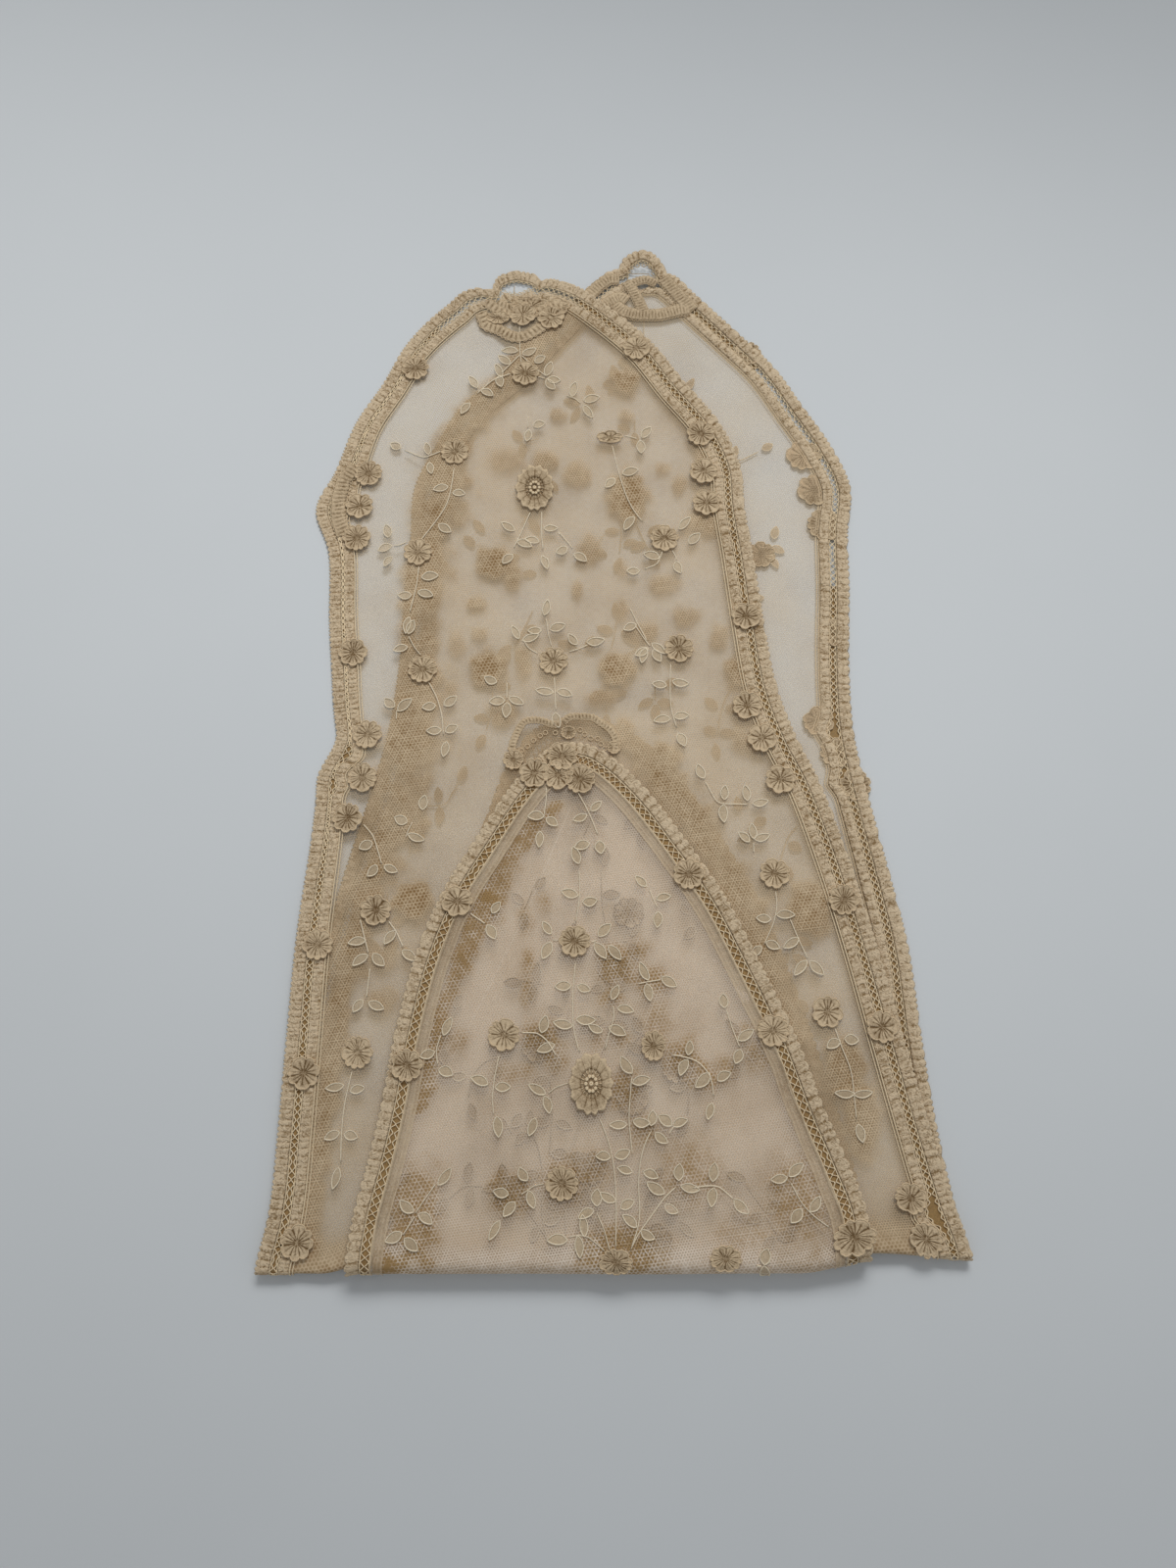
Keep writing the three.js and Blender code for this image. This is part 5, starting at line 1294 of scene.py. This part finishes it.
SHORT_SPRIGS = (
    (((-21, 229), (-21, 222), (-22, 214)), ((-18, 211), (-26, 214), (-24, 202))),
    (((-5.6, 227), (-1.25, 219), (2, 212), (5, 204)), ((-4, 213), (4, 219), (6, 198), (-3, 199))),
    (((-57.5, 165), (-53, 162), (-50, 160)), ((-47, 156), (-45, 168))),
    (((-14.5, 152), (-16, 152), (-17, 152)), ((-20, 158), (-20, 147))),
    (((1.5, 151), (3, 151.5), (4, 152)), ((8, 157), (6, 147), (13, 146))),
    (((-6, 160), (-4.5, 170), (-4, 178), (-4.4, 187)), ((-9, 175), (1, 171), (-6, 194))),
    (((-6, 142), (-7.5, 125), (-7, 109), (-3.75, 98)), ((-12, 130), (-2, 129), (-12, 112), (-1, 114))),
    (((12, 121), (12.5, 115), (10, 108), (8, 100)), ((13, 127), (18, 119), (3.5, 110), (14, 109))),
    (((24, 131), (29, 132), (35, 133)), ((27, 137), (29, 127), (39, 132))),
    (((30, 177), (32, 172), (34, 168)), ((26, 181), (37, 173), (34, 162))),
    (((-32, 108), (-24, 108), (-19, 104), (-15, 97)), ((-21, 112), (-20, 101))),
    (((39, 98), (45, 97), (52, 95), (58, 88), (59, 78)), ((48, 101), (45, 92), (54, 86), (64, 88), (57, 72))),
    (((66, 119), (69, 109), (72, 101)), ((65, 123), (75, 107), (71, 97))),
    (((-42, 98), (-44, 88), (-45, 78), (-44, 70)), ((-51, 86), (-40, 83), (-42, 65))),
    (((-9, 85), (-15, 83), (-19, 80)), ((-24, 82), (-19, 75), (-26, 65))),
    (((-70, 107), (-72, 100), (-71, 93)), ((-67, 111), (-76, 98), (-67, 90))),
    (((-20, 40), (-25, 39), (-31, 35)), ((-30, 44), (-26, 33), (-36, 29), (-40, 36), (-42.5, 20))),
    (((8, 11), (0, 17.5), (-5, 18), (-9, 17)), ((-4, 13), (-2, 22), (-14, 16))),
    (((10, 11), (7.5, 20), (3.75, 28)), ((-1, 27), (4, 34))),
    (((12.5, 11), (13, 30), (12.5, 44), (10.6, 56), (5, 70)), ((9, 34), (18, 31), (7, 52), (16, 53))),
    (((19, 11), (22, 17.5), (30, 27.5), (35, 34), (41, 39)),
     ((19, 24), (27, 18), (31, 38), (38, 29), (42, 45), (47, 38))),
    (((19, 11), (24, 24), (23, 40), (24, 50), (27, 60), (30, 64)), ((17, 46), (29, 44), (34, 60), (30, 69))),
    (((20.6, 52), (19, 69), (20.6, 88)), ((14, 66), (25, 67), (25, 86), (18, 93))),
    (((48, 38), (54, 39), (60, 39), (67, 33)), ((57, 34), (58, 45), (70, 30))),
    (((38, 62), (39, 64), (40, 65)), ((43, 67), (36, 68))),
    (((110, 21), (103, 26), (98, 31), (93, 41)), ((96, 46), (88, 42), (95, 26), (104, 31))),
    (((-70, 40), (-75, 33), (-79, 27)), ((-83, 30), (-74, 25), (-66, 43))),
    (((-79, 26), (-82, 21), (-84, 18)), ((-88, 17), (-80, 14))),
    (((76, 5), (77, 5), (78, 5)), ((80, 9), (80, 1))),
)
STEM_POINTS = 20
STEM_RADIUS = 0.37
LEAF_LENGTH, LEAF_WIDTH = 8.0, 4.4
LEAF_SIZES, LEAF_SLIMS, LEAF_CURLS, LEAF_TURNS = (0.82, 1.18), (0.8, 1.1), (-0.5, 0.5), (-0.35, 0.35)
LEAF_POWER, LEAF_TAPER = 0.8, 0.15
LEAF_CORD = 0.42
LEAF_LOOP = 18  # places round a leaf's cord
LOOP_OVER, LOOP_TILT = 1.02, 0.12
LEAF_ROWS, LEAF_REACH = 6, 0.97
LEAF_LANES = np.array([-0.94, 0.0, 0.94])  # shares of the half width across a leaf's muslin
MUSLIN_DOME = 0.15
MUSLIN_LIGHT, SPRIG_LIGHT = 0.75, 1.1
SPRIG_SIDES = 3
SPRIG_HEIGHT = 1.5  # over the face of the net
SPRIG_SEED = 29
LONG_MIRROR, SHORT_MIRROR = -3.5, 1.3  # x of the lines that the hidden sprigs are mirrored in


def mirrored(spots, mirror):
    """Seen spots, mirrored in the line x = mirror where there is one."""
    spots = np.array(spots, dtype=float)
    if mirror is not None:
        spots[:, 0] = 2 * mirror - spots[:, 0]
    return spots


def leaf_places(fall, sprigs, paths, half, mirror):
    """Rows of flat x, v and heading for every leaf; a leaf points away from the nearest place of its stem."""
    rows = []
    for (stem, leaves), path in zip(sprigs, paths):
        x, v = fall.place(*mirrored(leaves, mirror).T, half)
        nearest = np.hypot(x[:, None] - path[None, :, 0], v[:, None] - path[None, :, 1]).argmin(axis=1)
        rows.append(np.column_stack([x, v, np.arctan2(v - path[nearest, 1], x - path[nearest, 0])]))
    return np.concatenate(rows)


def leaf_parts(fall, leaves, n, seed):
    """Leaves from rows of x, v and heading: the half width goes as the power 0.8 of 1 - u2 along the leaf, so
    that it is pointed at both ends. The cord follows that outline, and the muslin is a low dome between."""
    random = np.random.default_rng(seed)
    count = len(leaves)
    size, slim, curl, turned = (random.uniform(*spread, count)[:, None]
                                for spread in (LEAF_SIZES, LEAF_SLIMS, LEAF_CURLS, LEAF_TURNS))
    heading = leaves[:, 2][:, None] + turned

    def laid(u, side, height):
        """Flat places at the share u along the leaf and side across it, curled a little to one side."""
        half_width = LEAF_WIDTH / 2 * slim * np.maximum(1.0 - u * u, 0.0) ** LEAF_POWER
        half_width = half_width * (1.0 - LEAF_TAPER * u)
        forward = size * LEAF_LENGTH / 2 * u
        across = side * half_width + curl * (u * u - 0.5)
        x = leaves[:, 0][:, None] + forward * np.cos(heading) - across * np.sin(heading)
        v = leaves[:, 1][:, None] + forward * np.sin(heading) + across * np.cos(heading)
        return flat_places(x, v, height)

    turn = full_turn(LEAF_LOOP)[None, :]
    loop = laid(np.cos(turn) * LOOP_OVER, np.sign(np.sin(turn)), n + LOOP_TILT * np.cos(turn))
    u, side = (grid.reshape(1, -1) for grid in np.meshgrid(
        np.linspace(-LEAF_REACH, LEAF_REACH, LEAF_ROWS), LEAF_LANES, indexing="ij"))
    blade = laid(u, side, n - MUSLIN_DOME + MUSLIN_DOME * (1.0 - side**2))
    quads = lattice_faces(count, LEAF_ROWS, len(LEAF_LANES))[:, ::-1]
    loops = flat_threads(fall, loop.reshape(count, -1, 3), LEAF_CORD, SPRIG_SIDES, True, SPRIG_LIGHT)
    return loops, (fall.fold(blade), quads, fall.dim(blade, MUSLIN_LIGHT))


sprig_clean = (0.96, 0.84, 0.64, 1.0)
# toasted and shaded end: the cord's own browning and the painted shade of sprigs under other layers
sprig_toasted_and_shaded = (0.34, 0.22, 0.1, 1.0)
sprig_cotton = cotton("sprig_cotton", sprig_clean, sprig_toasted_and_shaded, roughness=0.8, crinkle=0.2)
muslin_clean = (0.82, 0.68, 0.48, 1.0)
muslin_cotton = thin_cotton("muslin_cotton", muslin_clean, tape_toasted_and_shaded, roughness=0.9, crinkle=0.3,
                            weave=(900.0, 2.0, 0.5), cover=(0.42, 0.1))
# Where the sprigs lie: name, fall, half, line that they are mirrored in, and the sprigs.
SPRIG_SETS = (("long_upper", long_fall, 1, None, LONG_SPRIGS),
              ("long_lower", long_fall, -1, LONG_MIRROR, LONG_SPRIGS),
              ("short_upper", short_fall, 1, None, SHORT_SPRIGS),
              ("long_covered", long_fall, 1, SHORT_MIRROR, SHORT_SPRIGS))
for label, fall, half, mirror, sprigs in SPRIG_SETS:
    paths = np.array([seen_path(fall, half, mirrored(stem, mirror), SPRIG_HEIGHT, 1, count=STEM_POINTS)
                      for stem, leaves in sprigs])
    leaves = leaf_places(fall, sprigs, paths, half, mirror)
    loops, muslin = leaf_parts(fall, leaves, SPRIG_HEIGHT, SPRIG_SEED)
    stems = flat_threads(fall, paths, STEM_RADIUS, SPRIG_SIDES, False, SPRIG_LIGHT)
    make_piece(f"{label}_sprig_cords", [stems, loops], sprig_cotton, "rosette", poles=True)
    make_piece(f"{label}_leaf_muslin", [muslin], muslin_cotton, "rosette")

# The floor, the light and the camera: a pale matt table under a broad soft light from beyond the points, seen
# from above with the picture's tilt.
FLOOR_HALF = 3.0
FLOOR_BELOW = -0.0002
FLOOR_ROUGHNESS, FLOOR_SPECULAR = 0.75, 0.2
FLOOR_CLOUDS = (9.0, 3.0)  # features a metre and detail
FLOOR_TONES = ((0.755, 0.795, 0.825, 1.0), (0.785, 0.825, 0.855, 1.0))
floor_mesh = bpy.data.meshes.new("floor")
floor_corners = [(x * FLOOR_HALF, y * FLOOR_HALF, FLOOR_BELOW)
                 for x, y in ((-1, -1), (1, -1), (1, 1), (-1, 1))]
floor_mesh.from_pydata(floor_corners, [], [(0, 1, 2, 3)])
floor = bpy.data.objects.new("floor", floor_mesh)
bpy.context.scene.collection.objects.link(floor)
floor_paint = bpy.data.materials.new("pale_table")
floor_paint.use_nodes = True
floor_tree = floor_paint.node_tree
floor_shader = floor_tree.nodes["Principled BSDF"]
floor_spot = add_node(floor_tree, "ShaderNodeTexCoord").outputs["Object"]
floor_tone = add_node(floor_tree, "ShaderNodeMix", {
    MIX_SHARE: noise(floor_tree, floor_spot, *FLOOR_CLOUDS), MIX_FIRST: FLOOR_TONES[0],
    MIX_SECOND: FLOOR_TONES[1]}, data_type="RGBA").outputs[MIX_RESULT]
floor_tree.links.new(floor_tone, floor_shader.inputs["Base Color"])
floor_shader.inputs["Roughness"].default_value = FLOOR_ROUGHNESS
floor_shader.inputs["Specular IOR Level"].default_value = FLOOR_SPECULAR
floor_mesh.materials.append(floor_paint)

SKY_COLOUR, SKY_STRENGTH = (0.97, 0.985, 1.0, 1.0), 0.297
LAMP_SIZE, LAMP_ENERGY, LAMP_SPREAD, LAMP_COLOUR = (1.4, 0.53), 1.65, 46.0, (1.0, 0.99, 0.97)
LAMP_PLACE = Vector((0.07, 0.99, 1.06))
LAMP_AIM = Vector((-0.11, 0.05, 0.0))
world = bpy.data.worlds.new("studio")
world.use_nodes = True
world.node_tree.nodes["Background"].inputs["Color"].default_value = SKY_COLOUR
world.node_tree.nodes["Background"].inputs["Strength"].default_value = SKY_STRENGTH
bpy.context.scene.world = world
lamp = bpy.data.lights.new("soft_light", "AREA")
lamp.shape = "RECTANGLE"
lamp.size, lamp.size_y = LAMP_SIZE
lamp.energy = LAMP_ENERGY
lamp.spread = np.radians(LAMP_SPREAD)
lamp.color = LAMP_COLOUR
lamp_holder = bpy.data.objects.new("soft_light", lamp)
lamp_holder.location = LAMP_PLACE
lamp_holder.rotation_euler = (LAMP_AIM - LAMP_PLACE).to_track_quat("-Z", "Y").to_euler()
bpy.context.scene.collection.objects.link(lamp_holder)

FOCAL_PIXELS = 1202.0
IMAGE_TALL = 1600.0
SENSOR = 36.0
CAMERA_PLACE = (-0.012, -0.1975, 0.5805)
CAMERA_TILT = 15.0  # degrees from straight down
CAMERA_NEAR = 0.01
SEEN_LAYERS = 32  # of see-through cloth along one ray
camera = bpy.data.cameras.new("camera")
camera.sensor_fit = "VERTICAL"
camera.sensor_height = SENSOR
camera.lens = SENSOR * FOCAL_PIXELS / IMAGE_TALL
camera.clip_start = CAMERA_NEAR
camera_holder = bpy.data.objects.new("camera", camera)
camera_holder.location = CAMERA_PLACE
camera_holder.rotation_euler = (np.radians(CAMERA_TILT), 0.0, 0.0)
bpy.context.scene.collection.objects.link(camera_holder)
bpy.context.scene.camera = camera_holder
bpy.context.scene.view_settings.view_transform = "Standard"
bpy.context.scene.cycles.transparent_max_bounces = SEEN_LAYERS
